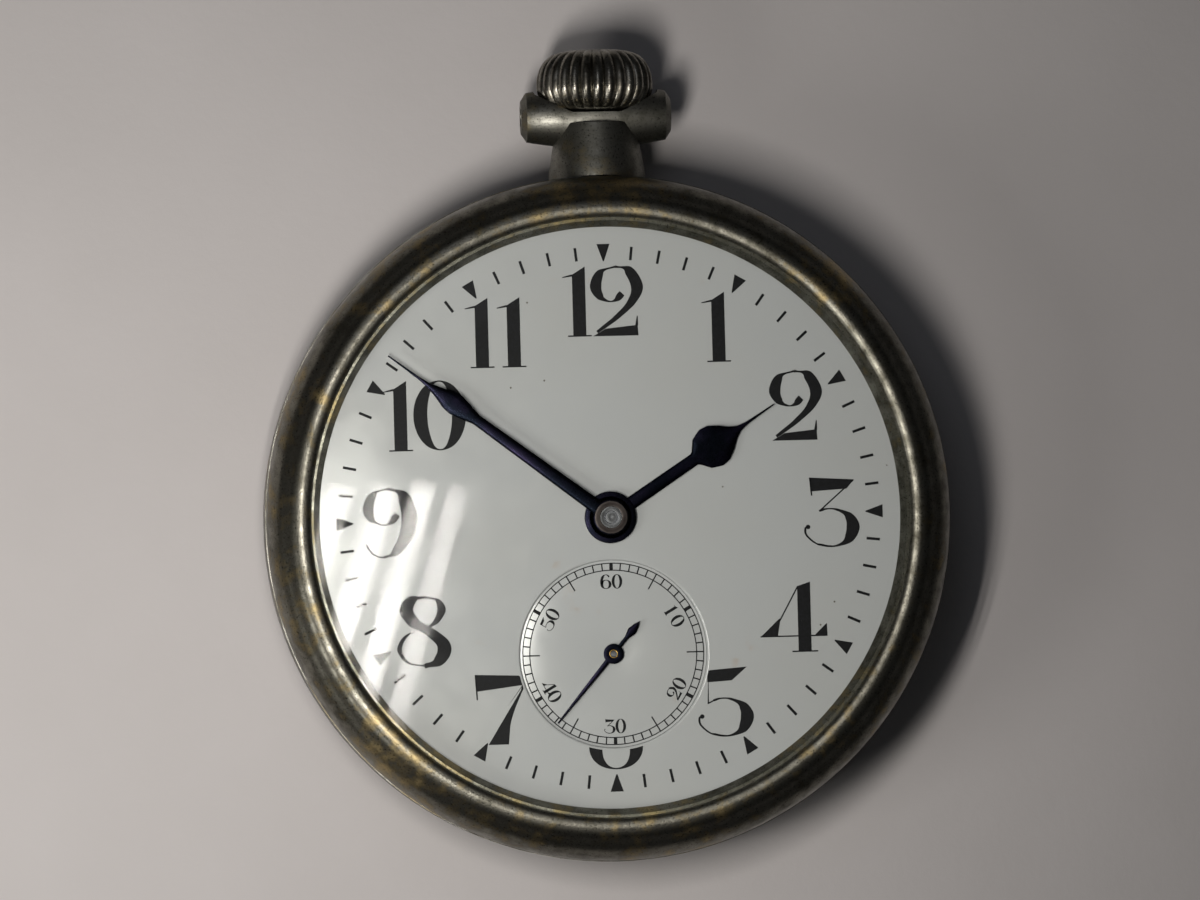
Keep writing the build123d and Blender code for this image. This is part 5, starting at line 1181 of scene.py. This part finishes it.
# Studio
@dataclass
class Studio:
    """Floor, lights and camera."""

    distance: float = 620.0
    frame_width: float = 89.6
    lean_left_deg: float = 4.0
    lean_down_deg: float = 1.6
    roll_deg: float = 1.5
    aim: tuple[float, float, float] = (-0.30, 5.15, 6.0)
    sensor: float = 36.0
    panel_at: Point = (-31.0, -13.0)
    panel_z: float = 130.0
    panel_size: tuple[float, float] = (44.0, 4.0)
    panel_step: float = 6.4
    panel_power: float = 0.036

    def camera(self) -> None:
        """Camera almost straight above, leaning a little to the left and down, with a long lens."""
        data = bpy.data.cameras.new("camera")
        data.sensor_width = self.sensor
        data.lens = self.sensor * self.distance / self.frame_width
        data.clip_end = 10.0
        camera = bpy.data.objects.new("camera", data)
        bpy.context.scene.collection.objects.link(camera)
        aim = Vector(self.aim) * MM
        lean = (-tan(radians(self.lean_left_deg)), -tan(radians(self.lean_down_deg)), 1.0)
        back = Vector(lean).normalized()
        up = Vector((sin(radians(self.roll_deg)), cos(radians(self.roll_deg)), 0.0))
        right = up.cross(back).normalized()
        up = back.cross(right)
        turn = Matrix((right, up, back)).transposed()
        camera.matrix_world = Matrix.Translation(aim + back * self.distance * MM) @ turn.to_4x4()
        bpy.context.scene.camera = camera

    def lamp(self, name: str, place: Point, height: float, size: Point, power: float, colour: str,
             aim: tuple[float, float, float] = (0.0, 0.0, 6.0)) -> None:
        """Rectangular softbox at a place, aimed at a point, in millimetres and watts."""
        data = bpy.data.lights.new(name, "AREA")
        data.shape, data.size, data.size_y = "RECTANGLE", size[0] * MM, size[1] * MM
        data.energy = power
        data.color = linear(colour)[:3]
        lamp = bpy.data.objects.new(name, data)
        bpy.context.scene.collection.objects.link(lamp)
        lamp.location = Vector((*place, height)) * MM
        direction = Vector(aim) * MM - lamp.location
        lamp.rotation_euler = direction.to_track_quat("-Z", "Y").to_euler()

    def floor(self) -> None:
        """Pale flat floor under the watch's back."""
        size, steps = 700.0, 24
        line = np.linspace(-size, size, 2 * steps + 1)
        x, y = np.meshgrid(line, line, indexing="ij")
        points = np.stack([x, y, 0 * x - 0.02], axis=-1)
        mesh = bpy.data.meshes.new("floor")
        mesh.from_pydata((points.reshape(-1, 3) * MM).tolist(), [],
                         grid_faces(2 * steps + 1, 2 * steps + 1, False, False)[:, ::-1].tolist())
        floor = bpy.data.objects.new("floor", mesh)
        bpy.context.scene.collection.objects.link(floor)
        mesh.materials.append(PaintedBoard("board_painted_pale_grey").material())

    def build(self) -> None:
        """Makes the studio."""
        self.camera()
        self.floor()
        for index in range(3):
            place = (self.panel_at[0] + (index - 1) * self.panel_step, self.panel_at[1])
            self.lamp(f"panel_{index}", place, self.panel_z, self.panel_size, self.panel_power, "fffaf5",
                      (-95.0, 8.0, 0.0))
        self.lamp("side", (-150.0, -75.0), 120.0, (70.0, 70.0), 0.085, "fbf8f4")
        self.lamp("fill", (-60.0, 120.0), 320.0, (120.0, 120.0), 0.03, "eef2ff")
        world = bpy.data.worlds.new("room")
        world.use_nodes = True
        background = world.node_tree.nodes["Background"]
        background.inputs["Color"].default_value = linear("c9ccd2")
        background.inputs["Strength"].default_value = 0.035
        bpy.context.scene.world = world
        bpy.context.scene.view_settings.view_transform = "Standard"


def main() -> None:
    """Builds the watch and the studio."""
    logging.basicConfig(level=logging.INFO, format="%(name)s %(message)s")
    Studio().build()
    Case().build()
    EnamelDial().build()
    SunkSecondsDial().build()
    Hands().build()
    Movement().build()


if __name__ == "__main__":
    main()
